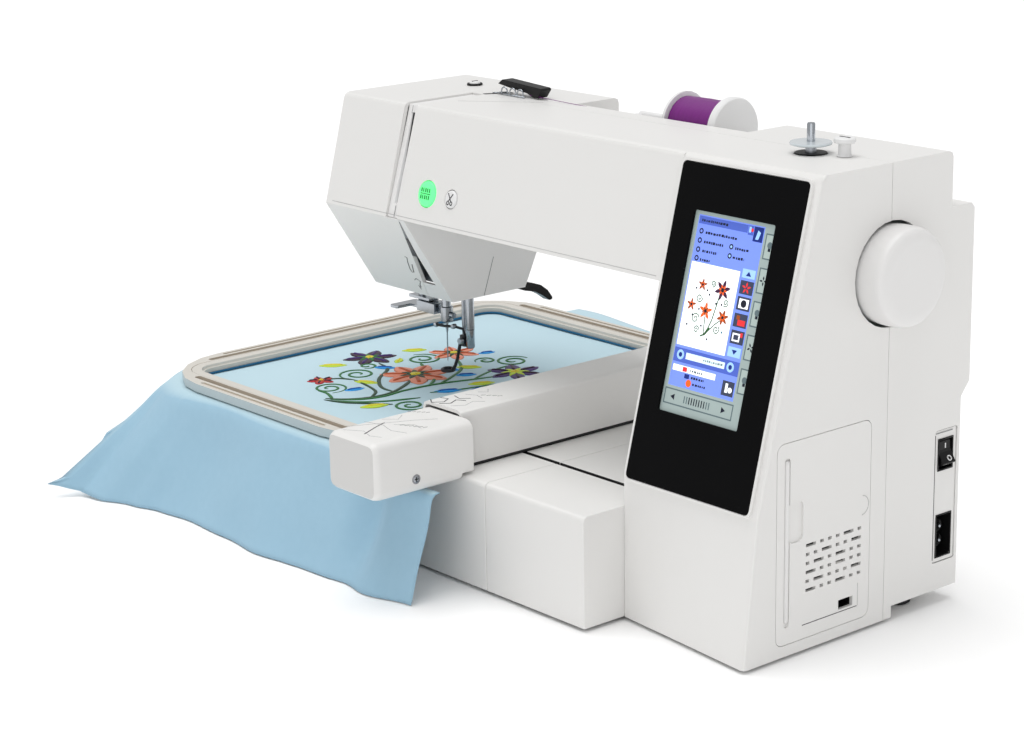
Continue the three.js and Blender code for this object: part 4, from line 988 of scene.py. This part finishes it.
# ---------------------------------------------------------------- embroidery
def embroidery():
    b = Build()
    Z = ZC + 0.35
    GRN = thread_mat("stitch_green", srgb(30, 112, 46))
    GRN_L = thread_mat("stitch_lime", srgb(202, 228, 60))
    GRN_D = thread_mat("stitch_dark_green", srgb(20, 66, 34))
    PINK = thread_mat("stitch_coral", srgb(248, 150, 122))
    ORG = thread_mat("stitch_rust", srgb(190, 84, 40))
    PUR = thread_mat("stitch_purple", srgb(66, 34, 110))
    PLUM = thread_mat("stitch_plum", srgb(52, 24, 50))
    BLU = thread_mat("stitch_blue", srgb(22, 154, 236))
    NAVY = thread_mat("stitch_navy", srgb(14, 84, 172))
    RED = thread_mat("stitch_red", srgb(190, 40, 44))
    YEL = thread_mat("stitch_yellow", srgb(230, 214, 60))

    def smooth_path(pts, n=10):
        out = []
        q = [pts[0]] + list(pts) + [pts[-1]]
        for i in range(1, len(q) - 2):
            p0, p1, p2, p3 = (Vector((*a, 0)) for a in q[i - 1:i + 3])
            for k in range(n):
                t = k / n
                out.append(0.5 * ((2 * p1) + (p2 - p0) * t + (2 * p0 - 5 * p1 + 4 * p2 - p3) * t * t + (3 * p1 - p0 - 3 * p2 + p3) * t ** 3))
        out.append(Vector((*pts[-1], 0)))
        return out

    def line(pts, w=1.7, m=GRN, h=0.45, n=8, ends=True):
        cur = smooth_path(pts, n)
        b.tube([P(p.x, p.y, Z + h * 0.25) for p in cur], w / 2, m, 8, h / (w / 2), taper=(lambda t: 0.35 + 0.65 * min(1, 6 * t, 6 * (1 - t))) if ends else None)

    def curl(x, y, r, rot, turns=1.7, flip=1, w=2.2, m=GRN, tail=None):
        pts = []
        N = 22
        for i in range(N + 1):
            t = i / N
            a = rot + flip * 2 * math.pi * turns * (1 - t)
            rr = r * (0.12 + 0.88 * (1 - t) ** 0.9)
            pts.append((x + rr * math.cos(a), y + rr * math.sin(a)))
        if tail:
            pts = list(tail) + pts
        line(pts, w, m, n=3)

    def leaf(x, y, ang, L, W, m, m2=None, h=0.7, tipw=0.0):
        """Crowned satin leaf: a little dome, pointed at both ends."""
        ca, sa = math.cos(ang), math.sin(ang)
        N, K = 9, 4
        v, f = [], []
        for i in range(N + 1):
            t = i / N
            half = W / 2 * math.sin(math.pi * min(1, t * 0.92 + 0.04)) ** 0.8
            for k in range(-K, K + 1):
                s_ = k / K
                lx, ly = (t - 0.5) * L, half * s_
                z = Z + h * math.sqrt(max(0, 1 - s_ * s_)) * (0.35 + 0.65 * math.sin(math.pi * t))
                if abs(k) == K:
                    z = Z - 0.05
                v.append(P(x + lx * ca - ly * sa, y + lx * sa + ly * ca, z))
        n = 2 * K + 1
        for i in range(N):
            for k in range(n - 1):
                a = i * n + k
                f.append([a, a + 1, a + n + 1, a + n])
        # flat underside closes it
        f.append([i * n for i in range(N + 1)] + [i * n + n - 1 for i in range(N, -1, -1)])
        f.append([k for k in range(n)][::-1])
        f.append([N * n + k for k in range(n)])
        b.add(v, f, m)
        if m2:
            line([(x - 0.36 * L * ca, y - 0.36 * L * sa), (x + 0.36 * L * ca, y + 0.36 * L * sa)], W * 0.24, m2, h * 1.5)

    def flower(x, y, r, m, m2, centre, k=6, rot=0.2, wide=0.5, squash=1.0):
        for i in range(k):
            a = rot + 2 * math.pi * i / k
            leaf(x + math.cos(a) * r * 0.58, y + math.sin(a) * r * 0.58, a, r * 0.92, r * wide, m, m2, 0.9)
        for i in range(k):
            a = rot + math.pi / k + 2 * math.pi * i / k
            leaf(x + math.cos(a) * r * 0.26, y + math.sin(a) * r * 0.26, a, r * 0.5, r * 0.22, centre, None, 1.2)
        pts = [(x + math.cos(2 * math.pi * i / 8) * r * 0.08, y + math.sin(2 * math.pi * i / 8) * r * 0.08) for i in range(9)]
        line(pts, r * 0.2, YEL, 1.3)

    # main stems sweep up from the foot of the sprig
    line([(-447, 14), (-432, 30), (-426, 48), (-428, 70), (-425, 99), (-414, 132), (-404, 166)], 3.4)
    line([(-452, 13), (-440, 22), (-431, 38), (-430, 58), (-440, 80), (-452, 96)], 3.6, GRN_D)
    line([(-445, 12), (-428, 24), (-414, 42), (-404, 66)], 3.0)
    line([(-450, 10), (-432, 17), (-416, 30), (-404, 40)], 2.6, GRN_D)
    line([(-431, 40), (-441, 52), (-462, 58), (-480, 60)], 2.8, GRN_D)
    line([(-428, 62), (-446, 62), (-468, 76), (-486, 98), (-505, 104)], 3.2, GRN_D)
    line([(-426, 92), (-440, 108), (-470, 122), (-482, 128)], 2.8)
    line([(-424, 100), (-432, 118), (-446, 140), (-470, 156)], 2.8)
    line([(-416, 128), (-424, 150), (-428, 172)], 2.6)
    line([(-447, 16), (-462, 22), (-474, 22)], 2.8)
    line([(-480, 60), (-490, 54), (-495, 46)], 2.4, GRN_D)
    line([(-410, 80), (-402, 98), (-396, 120), (-392, 134)], 2.4)
    for a in ((-490, 72, 15.5, 0.4, 1.8, 1), (-473, 32, 14, 5.2, 1.9, -1), (-491, 137, 15, 3.6, 1.9, 1), (-436, 185, 14.5, 0.3, 1.8, -1), (-393, 48, 14, 2.4, 1.8, 1), (-505, 92, 8, 1, 1.3, -1), (-452, 170, 9, 2, 1.4, 1), (-382, 84, 10, 1.4, 1.5, -1)):
        curl(a[0], a[1], a[2], a[3], a[4], a[5])
    flower(-457.7, 103.8, 27, PINK, ORG, GRN_D, 7, 0.35, 0.58)
    flower(-523.3, 108.8, 21, PLUM, PUR, GRN, 6, 0.1, 0.56)
    flower(-409, 164, 22, PUR, PLUM, GRN_L, 6, 0.5, 0.56)
    flower(-487, 166, 20, PINK, ORG, GRN_D, 6, 0.6, 0.54)
    flower(-495, 40.3, 10.5, RED, PLUM, ORG, 5, 0.4, 0.7)
    for i in range(7):                               # darker stitches down the middle of the big petals
        a = 0.35 + 2 * math.pi * i / 7
        leaf(-457.7 + math.cos(a) * 13.0, 103.8 + math.sin(a) * 13.0, a, 15, 2.6, ORG, None, 1.25)
    for i in range(6):
        a = 0.6 + 2 * math.pi * i / 6
        leaf(-487 + math.cos(a) * 9.6, 166 + math.sin(a) * 9.6, a, 11, 2.2, ORG, None, 1.25)
    for (x, y, a, L, W) in ((-525, 73.7, 0.9, 22, 11), (-517, 149, 1.0, 20, 10), (-467, 63, 0.5, 20, 10.5), (-410.4, 27.5, 1.2, 22, 11.5), (-446, 148, 0.8, 20, 10), (-402.8, 124.8, 1.1, 21, 10.5), (-500, 120, 2.2, 14, 7)):
        leaf(x, y, a, L, W, GRN_L, YEL, 0.8)
    for (x, y, a, L, W) in ((-491, 99.4, 0.7, 17, 9), (-457, 44, 1.3, 16, 9), (-430, 132, 1.0, 16, 9), (-404.8, 93.2, 1.1, 21, 11), (-451, 133.7, 0.4, 15, 8), (-392, 110, 1.8, 13, 7), (-470, 186, 1.2, 14, 7)):
        leaf(x, y, a, L, W, BLU, NAVY, 0.8)
    return b.done("stitched_sprig", "hoop")


embroidery()


# ----------------------------------------------------------- small fittings
def fittings():
    # icons on the slanted lower front of the head
    b = Build()
    n = Vector((0, -0.8406, -0.5418))      # out of the slanted face

    def S(x, y, out=0.05):
        """A point on the slanted face below the arm, from x and depth y."""
        z = ARM_Z + (y - ARM_YF) * (153.2 - ARM_Z) / (89 - ARM_YF)
        nn = Vector((0, 153.2 - ARM_Z, -(89 - ARM_YF))).normalized()
        q = Vector((x, y, z)) + nn * out
        return P(q.x, q.y, q.z)

    def path(pts, w=0.7):
        b.tube([S(*p) for p in pts], w / 2, INK, 6, 0.5)
    path([(-418.9, 66.9), (-416.9, 67.3), (-419.6, 70.1), (-422.2, 74.1), (-422.0, 75.9), (-419.5, 75.6), (-417.6, 73.2), (-415.4, 70.8)], 0.8)
    path([(-425.2, 80.6), (-423, 79.6), (-421, 79.5), (-418.6, 80.7), (-421.5, 82.6), (-422.6, 84.4)], 0.8)
    path([(-424.2, 83.4), (-424.0, 85.6)], 0.8)
    # the shadowed taper above the needle-area slit, and the seam on the right cheek
    nn = Vector((0, 153.2 - ARM_Z, -(89 - ARM_YF))).normalized()
    b.slab([S(-397.4, 45.8), S(-396.4, 45.8), S(-398.6, 55), S(-402.2, 55)], 0.06, LINE_M, nn)
    b.slab([S(-402.2, 55), S(-398.6, 55), S(-400.6, 65.2), S(-407.2, 65.2)], 0.06, LINE_D, nn)
    b.slab([P(-390.36, 129.3, 182), P(-390.36, 128.7, 182), P(-390.36, 118.8, 153.6), P(-390.36, 119.4, 153.6)], 0.05, LINE_M, Vector((1, 0, 0)))
    b.done("head_icons", "machine")

    # marks on the two front buttons
    b = Build()
    for row, h in ((2.6, 3.0), (-2.6, 3.0)):
        for i, w in enumerate((1.3, 1.0, 1.4, 1.1, 1.2)):
            u = -368.7 - 5.4 + i * 2.2
            b.slab([F(u + a_, 22.7 + row + c_, 1.62) for a_, c_ in ((0, -h / 2), (w, -h / 2), (w, h / 2), (0, h / 2))], 0.08, GREEN_D, EN)
    b.slab([F(-368.7 + a_, 22.7 + c_, 1.62) for a_, c_ in ((-5.6, -0.35), (5.4, -0.35), (5.4, 0.35), (-5.6, 0.35))], 0.08, GREEN_D, EN)
    b.done("start_icon", "start_stop_button")
    b = Build()

    def sc(pts, w=0.85):
        b.tube([F(-341.3 + x, 22.5 + z, 1.25) for x, z in pts], w / 2, INK, 6, 0.5, EN)
    sc([(-2.6, 4), (1.4, -1.6)])
    sc([(2.6, 4), (-1.4, -1.6)])
    for sx in (-1, 1):
        sc([(sx * 1.8 + 1.2 * math.cos(a), -2.9 + 1.3 * math.sin(a)) for a in [2 * math.pi * i / 10 for i in range(11)]], 0.75)
    b.done("cutter_icon", "thread_cutter_button")

    # hook-shaped wire guides and tension ring on the head's top
    b = Build()
    for x in (-384.0, -374.5, -366.0):
        pts = []
        for i in range(15):
            a = math.pi * (1.35 * i / 14 - 0.2)
            pts.append(P(x + 3.4 * math.cos(a), 137.6, 306.4 + 3.6 * math.sin(a)))
        b.tube(pts, 0.55, CHROME, 8)
    b.tube([P(-392, 137.4, 305.0), P(-378, 136.6, 304.9), P(-360, 136.8, 304.9)], 0.6, CHROME, 8)
    b.done("guide_wires", "machine")
    b = Build()
    at = (-438.6, 154.2, 0)
    b.lathe([(4.4, 304.02), (6.0, 304.02), (6.0, 305.2), (5.6, 305.6), (4.8, 305.6), (4.4, 305.2)], at, 'z', BLACK)
    b.lathe([(0.0, 304.02), (4.2, 304.02), (4.2, 305.8), (3.2, 306.9), (0.0, 307.2)], at, 'z', CAP)
    b.block(-439.2, -438.0, 151.6, 156.8, 307.0, 307.3, BLACK)
    b.done("pretension_dial", "machine")
    # open slot beside it
    b = Build()
    up = Vector((0, 0, 1))
    b.slab([P(*p) for p in ((-400.8, 130.8, 304.02), (-397.6, 130.4, 304.02), (-386.6, 148.4, 304.02), (-389.8, 149.2, 304.02))], 0.25, DARK, up)
    b.slab([P(*p) for p in ((-396.2, 136.2, 304.3), (-395.0, 136.0, 304.3), (-389.4, 145.2, 304.3), (-390.6, 145.6, 304.3))], 0.9, CHROME, up)
    b.slab([P(*p) for p in ((-388.6, 97.0, 304.02), (-388.2, 96.6, 304.02), (-337.0, 134.8, 304.02), (-337.4, 135.2, 304.02))], 0.05, LINE_L, up)
    b.done("thread_slot", "machine")

    # screw in the end of the embroidery arm
    b = Build()

    def ring_x(x0, x1, y, z, r0, r1, m, N=20):
        v, f = [], []
        for i in range(N):
            a = 2 * math.pi * i / N
            for r, x in ((r0, x0), (r1, x0), (r1, x1), (r0, x1)):
                v.append(P(x, y + r * math.cos(a), z + r * math.sin(a)))
        for i in range(N):
            j = (i + 1) % N
            for k in range(4):
                f.append([4 * i + k, 4 * j + k, 4 * j + (k + 1) % 4, 4 * i + (k + 1) % 4])
        b.add(v, f, m)
    ring_x(-241.98, -241.7, -65.5, 84, 2.5, 3.4, INK_L)
    ring_x(-241.98, -241.5, -65.5, 84, 0.01, 2.4, STEEL)
    b.slab([P(-241.5, -67.2, 83.6), P(-241.5, -63.8, 83.6), P(-241.5, -63.8, 84.4), P(-241.5, -67.2, 84.4)], 0.08, DARK, Vector((1, 0, 0)))
    b.slab([P(-241.45, -65.9, 82.3), P(-241.45, -65.1, 82.3), P(-241.45, -65.1, 85.7), P(-241.45, -65.9, 85.7)], 0.08, DARK, Vector((1, 0, 0)))
    b.done("end_box_screw", "embroidery_arm")

    # threading lines printed on the arm's top
    b = Build()

    def top_line(pts, z, w=0.55, m=INK_L):
        b.tube([P(x, y, z + 0.03) for x, y in pts], w / 2, m, 6, 0.3)
    ze, za = 114.6, 118.5
    top_line([(-291, -86), (-279, -62), (-271, -44), (-262, -30)], ze, 0.45)
    top_line([(-268, -88), (-276, -72), (-280, -62)], ze, 1.0, INK)
    top_line([(-292, -70), (-276, -66), (-262, -70), (-250, -66)], ze, 0.45)
    top_line([(-286, -92), (-274, -84), (-262, -88), (-254, -84)], ze, 0.4)
    top_line([(-288, -58), (-280, -50), (-286, -42)], ze, 0.45)
    top_line([(-272, -60), (-262, -50), (-252, -52)], ze, 0.4)
    for i in range(6):
        top_line([(-268 + i * 3.0, -58 + i * 1.6), (-266.6 + i * 3.0, -55 + i * 1.6)], ze, 0.6, INK)
    for i in range(5):
        top_line([(-290 + i * 2.6, -34 + i * 2), (-288.8 + i * 2.6, -31.6 + i * 2)], ze, 0.55, INK)
    top_line([(-292, -12), (-286, -16), (-281, -9), (-285, -2), (-291, -4)], za, 1.0, INK)
    top_line([(-280, -14), (-275, -8), (-279, 0), (-273, 4)], za, 1.1, INK)
    top_line([(-288, 6), (-280, 4), (-275, 10)], za, 0.9, INK)
    top_line([(-270, -12), (-264, -4), (-268, 6), (-262, 12)], za, 0.5)
    top_line([(-286, 14), (-278, 18), (-270, 16)], za, 0.5)
    top_line([(-284, 24), (-279, 29), (-285, 34)], za, 0.5)
    for i in range(4):
        top_line([(-276 + i * 3.2, 20 + i * 2.4), (-274.4 + i * 3.2, 23 + i * 2.4)], za, 0.6, INK)
    b.done("arm_diagram", "embroidery_arm")

    # touch pen kept in the side groove
    b = Build()
    pts = [P(-0.9, 37.7, z) for z in (22, 24, 40, 80, 118, 126, 129)]
    b.tube(pts, 1.9, WHEEL, 12, 1.0, Vector((1, 0, 0)), taper=lambda t: 0.45 if t < 0.01 else (0.75 if t < 0.05 else 1.0))
    b.done("touch_pen", "machine")

    # mains switch: rocker with its two marks, black frames round rocker and inlet, the inlet's pins
    b = Build()
    RX = Vector((1, 0, 0))
    rz = 101.7
    prof = [(-4.4, 9.3), (-1.7, 9.3), (-1.2, 8.4), (-1.0, 3.0), (-0.6, 1.2), (0.4, -1.2), (3.0, -5.2), (3.1, -5.9), (2.5, -6.6), (-0.8, -8.2), (-4.4, -8.6)]
    n, v = len(prof), []
    for yy in (182.6, 194.9):
        v += [P(x, yy, rz + z) for x, z in prof]
    b.add(v, [list(range(n)), list(range(n, 2 * n))[::-1]] + [[i, i + n, (i + 1) % n + n, (i + 1) % n] for i in range(n)], BLACK_G)
    b.slab([P(-1.0, 188.7, rz + 3.6), P(-1.0, 189.7, rz + 3.6), P(-1.08, 189.7, rz + 7.0), P(-1.08, 188.7, rz + 7.0)], 0.12, MARK_W, RX)
    ring = [(1.65 * math.cos(2 * math.pi * i / 18), 1.65 * math.sin(2 * math.pi * i / 18)) for i in range(19)]
    sl = Vector((4.0, 0, 2.6)).normalized()
    b.tube([P(1.62 - 0.65 * w * 0.84, 190.4 + u, rz - 3.0 + w * 0.84) + sl * 0.0001 for u, w in ring], 0.42, MARK_W, 6)
    rk = b.done("rocker_key", "power_rocker", smooth=False)
    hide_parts("power_rocker")

    b = Build()

    def frame_x(y0, y1, z0, z1, t, x0, x1, m):
        for a0, a1, c0, c1 in ((y0, y1, z0, z0 + t), (y0, y1, z1 - t, z1), (y0, y0 + t, z0 + t, z1 - t), (y1 - t, y1, z0 + t, z1 - t)):
            b.slab([P(x0, a0, c0), P(x0, a1, c0), P(x0, a1, c1), P(x0, a0, c1)], x1 - x0, m, RX)
    frame_x(181.0, 196.2, 90.6, 112.8, 1.1, -0.55, -0.05, BLACK)
    frame_x(180.6, 196.3, 30.2, 60.4, 0.9, -0.55, -0.15, BLACK)
    for zz in (50.6, 40.6):
        b.lathe([(0.0, -15), (1.3, -15), (1.3, -3.6), (0.9, -2.9), (0.0, -2.7)], (0, 188.5, zz), 'x', CHROME, 14)
        b.lathe([(3.6, -15), (4.6, -15), (4.6, -5.2), (3.6, -5.2)], (0, 188.5, zz), 'x', BLACK_G, 20)
    b.slab([P(-0.3, 177.6, 29.4), P(-0.3, 178.1, 29.4), P(-0.3, 178.1, 116), P(-0.3, 177.6, 116)], 0.34, LINE_D, RX)
    b.slab([P(-0.3, 178.4, 116.8), P(-0.3, 195.0, 116.8), P(-0.3, 195.0, 117.2), P(-0.3, 178.4, 117.2)], 0.34, LINE_M, RX)
    b.slab([P(-0.35, 199.3, 29), P(-0.35, 200.3, 29), P(-0.35, 200.3, 117), P(-0.35, 199.3, 117)], 0.34, WHITE, RX)
    pins = b.done("inlet_frames", "machine")
    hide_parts("inlet_pins")

    # fine lines of the label and the round mark on the access panel; a painted shade line along the arm's lower edge
    b = Build()
    b.slab([P(0.01, 52.2, 16.8), P(0.01, 103.6, 16.8), P(0.01, 103.6, 17.4), P(0.01, 52.2, 17.4)], 0.05, LINE_D, RX)
    b.slab([P(0.01, 104.0, 17.2), P(0.01, 104.5, 17.2), P(0.01, 104.5, 32.6), P(0.01, 104.0, 32.6)], 0.05, LINE_L, RX)
    arc = [P(0.03, 106.6 + 6.6 * math.sin(t), 84.6 + 6.6 * math.cos(t)) for t in [0.15 + 2.9 * i / 16 for i in range(17)]]
    b.tube(arc, 0.28, LINE_L, 6)
    # grey strip along the arm's lower edge: painted shade under its lip
    for pts in ([F(-478, 2.4, 0.01), F(-125, 2.4, 0.01), F(-125, 2.9, 0.01), F(-478, 2.9, 0.01)],):
        b.slab(pts, 0.05, LINE_L, EN)
    for z0, z1 in ((1.0, 9.4), (77.6, 83.4)):
        b.slab([F(-404.0, z0, -1.5), F(-403.4, z0, -1.5), F(-403.4, z1, -1.5), F(-404.0, z1, -1.5)], 0.05, LINE_M, EN)
    b.done("cover_lines", "machine")

    # free-motion foot: bar end, clamp with its screw, sprung leg and small ring; the arm that rests on the needle clamp
    b = Build()
    b.lathe([(0.0, 109.4), (2.7, 109.4), (3.4, 110.4), (3.4, 124.0), (0.0, 124.0)], (-408, 119, 0), 'z', CHROME, 24)
    b.lathe([(0.0, 112.6), (1.5, 112.6), (1.5, 152.0), (0.0, 152.0)], (-415.4, 119, 0), 'z', STEEL, 16)
    b.block(-417.2, -411.6, 116.2, 121.6, 110.0, 118.6, MOTOR)
    b.lathe([(0.0, 112.4), (2.2, 112.4), (2.5, 112.9), (2.5, 115.4), (1.2, 115.6), (1.2, 117.0), (0.0, 117.0)], (-413.6, 0, 114.6), 'y', STEEL, 18)
    b.tube([P(-415.6, 117.4, 116.4), P(-417.2, 116.4, 111.6), P(-418.4, 116.0, 106.0), P(-420.4, 115.8, 98.9), P(-422.6, 115.4, 93.2), P(-426.0, 115.2, 89.2)], 1.35, MOTOR, 10)
    b.lathe([(3.5, 87.6), (5.4, 87.4), (5.9, 88.2), (5.7, 89.4), (4.4, 90.0), (3.5, 89.4)], (-431, 115, 0), 'z', MOTOR, 28)
    b.tube([P(-434.6, 107.4, 125.0), P(-424, 107.6, 125.8), P(-416.6, 110.6, 126.2), P(-413.4, 116.4, 123.8), P(-413.0, 118.0, 118.0)], 1.05, MOTOR, 10)
    b.lathe([(0.0, 105.6), (1.7, 105.8), (1.9, 107.4), (1.7, 109.0), (0.0, 109.2)], (-434.6, 0, 125.0), 'y', CHROME, 16)
    b.lathe([(0.0, 108.6), (1.8, 108.8), (2.0, 110.6), (1.8, 112.4), (0.0, 112.6)], (-417.4, 0, 126.2), 'y', STEEL, 16)
    ft = b.done("hopping_foot", "presser_bar")
    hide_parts("embroidery_foot")
    ft.data.set_sharp_from_angle(angle=math.radians(40))

    # spool cap: a plain flat disc with a closed face; the pin ends inside it
    b = Build()
    b.lathe([(3.7, -184.2), (21.6, -184.2), (22.6, -183.3), (22.6, -178.4), (21.7, -177.4), (0.0, -177.0), (0.0, -178.0), (3.7, -178.2)], (0, 171, 298), 'x', CAP, 56)
    cp = b.done("spool_cap_disc", "spool_cap")
    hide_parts("spool_cap")
    cp.data.set_sharp_from_angle(angle=math.radians(35))
    b = Build()
    b.lathe([(0.0, -272.0), (3.0, -272.0), (3.0, -180.2), (2.4, -179.4), (0.0, -179.2)], (0, 171, 298), 'x', CAP, 24)
    b.block(-274.0, -268.0, 166.2, 175.8, 272.4, 299.2, CAP)
    sp = b.done("spool_rod", "machine")
    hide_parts("spool_pin")
    sp.data.set_sharp_from_angle(angle=math.radians(35))

    # bobbin winder: black base, steel spindle with a thin clear disc; the bobbin stop beside it
    b = Build()
    b.lathe([(0.0, 278.4), (2.9, 278.4), (2.9, 304.25), (10.2, 304.25), (10.6, 304.5), (10.2, 304.8), (0.0, 305.0)], (-58.6, 118, 0), 'z', BLACK, 40)
    b.lathe([(0.0, 304.9), (3.6, 304.9), (3.6, 309.3), (0.0, 309.3)], (-58.6, 118, 0), 'z', STEEL, 28)
    b.lathe([(0.0, 309.3), (12.6, 309.6), (13.6, 310.0), (13.8, 310.9), (13.4, 311.6), (3.2, 311.7), (0.0, 311.7)], (-58.6, 118, 0), 'z', CLEAR, 48)
    b.lathe([(0.0, 311.7), (2.7, 311.7), (2.7, 322.8), (2.2, 323.8), (0.0, 324.0)], (-58.6, 118, 0), 'z', CHROME, 28)
    b.block(-58.95, -58.25, 115.6, 120.4, 314.0, 323.2, BLACK)
    wd = b.done("winder_pin_disc", "winder_spindle")
    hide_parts("winder_spindle")
    wd.data.set_sharp_from_angle(angle=math.radians(35))
    b = Build()
    b.lathe([(0.0, 304.3), (5.0, 304.3), (4.2, 305.4), (4.0, 312.4), (6.4, 312.8), (7.2, 313.6), (7.0, 315.6), (6.2, 316.3), (0.0, 316.5)], (-35.4, 124.2, 0), 'z', CAP, 36)
    b.block(-39.6, -31.2, 123.6, 124.8, 316.2, 316.62, DARK)
    ws = b.done("bobbin_stop", "machine")
    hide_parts("winder_stop")
    ws.data.set_sharp_from_angle(angle=math.radians(35))

    # a dark-blue strand at the foot of the inner ring: painted shadow in the gap where the ring meets the cloth
    b = Build()
    hw, hl, r = HW / 2 - 1.0, HL / 2 - 1.0, 14.0
    loop = []
    for cx_, cy_, a0 in ((hw - r, hl - r, 0), (-hw + r, hl - r, 90), (-hw + r, -hl + r, 180), (hw - r, -hl + r, 270)):
        for i in range(9):
            t = math.radians(a0 + 90 * i / 8)
            loop.append((HX + cx_ + r * math.cos(t), HY + cy_ + r * math.sin(t)))
    loop.append(loop[0])
    b.tube([P(x, y, ZC + 1.5) for x, y in loop], 0.95, RING_FOOT_SHADOW, 8)
    b.done("ring_foot_painted_shadow", "hoop")

    # a dark sheet under the arm's side: painted shade of the gap between arm and bed, seen as a dark line
    b = Build()
    b.block(-296.2, -254.6, -13.4, 186.0, 77.35, 79.7, DARK)
    b.done("arm_gap_painted_shade", "embroidery_arm")

    # a dark sheet behind the air slots: painted shade of the inside
    b = Build()
    b.slab([P(-8, 52, 36), P(-8, 108, 36), P(-8, 108, 73), P(-8, 52, 73)], 0.4, DARK, Vector((1, 0, 0)))
    b.done("vent_painted_shade", "machine")


fittings()


# ------------------------------------------------------------- upper thread
def upper_thread():
    cu = bpy.data.curves.new("upper_thread", 'CURVE')
    cu.dimensions = '3D'
    cu.bevel_depth = 0.0002
    cu.bevel_resolution = 2
    sp = cu.splines.new('POLY')
    a, z = Vector((-212, 152.6, 302.4)), Vector((-357.5, 139.6, 306.6))
    pts = []
    for i in range(21):
        t = i / 20
        q = a.lerp(z, t)
        q.z -= 1.2 * math.sin(math.pi * t)
        pts.append(P(*q))
    sp.points.add(len(pts) - 1)
    for p, c in zip(sp.points, pts):
        p.co = (*c, 1)
    ob = bpy.data.objects.new("upper_thread", cu)
    cu.materials.append(PURPLE)
    scene.collection.objects.link(ob)
    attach(ob, "machine")


upper_thread()


# ------------------------------------------------------------ floor and light
def stage():
    s = 6.0
    m = plastic("pale_floor", srgb(254, 254, 254), 0.75, mottle=0.004, grain=60, grain_h=0.0, spec=0.1)
    v = [(-s, -s, 0), (s, -s, 0), (s, s, 0), (-s, s, 0)]
    me = bpy.data.meshes.new("floor")
    me.from_pydata(v, [], [[0, 1, 2, 3]])
    me.materials.append(m)
    fl = bpy.data.objects.new("floor", me)
    scene.collection.objects.link(fl)
    w = bpy.data.worlds.new("studio")
    scene.world = w
    w.use_nodes = True
    w.node_tree.nodes["Background"].inputs["Color"].default_value = (1, 1, 1, 1)
    w.node_tree.nodes["Background"].inputs["Strength"].default_value = 0.59

    def sun(name, towards, angle, power, col=(1, 1, 1)):
        l = bpy.data.lights.new(name, 'SUN')
        l.angle = math.radians(angle)
        l.energy = power
        l.color = col
        o = bpy.data.objects.new(name, l)
        o.rotation_euler = (-Vector(towards)).to_track_quat('-Z', 'Y').to_euler()
        scene.collection.objects.link(o)
    sun("top", (-0.14, -0.06, 1.0), 50, 1.70)
    sun("fill", (0.68, -0.70, 0.12), 60, 0.56)


stage()
scene.view_settings.view_transform = 'Standard'
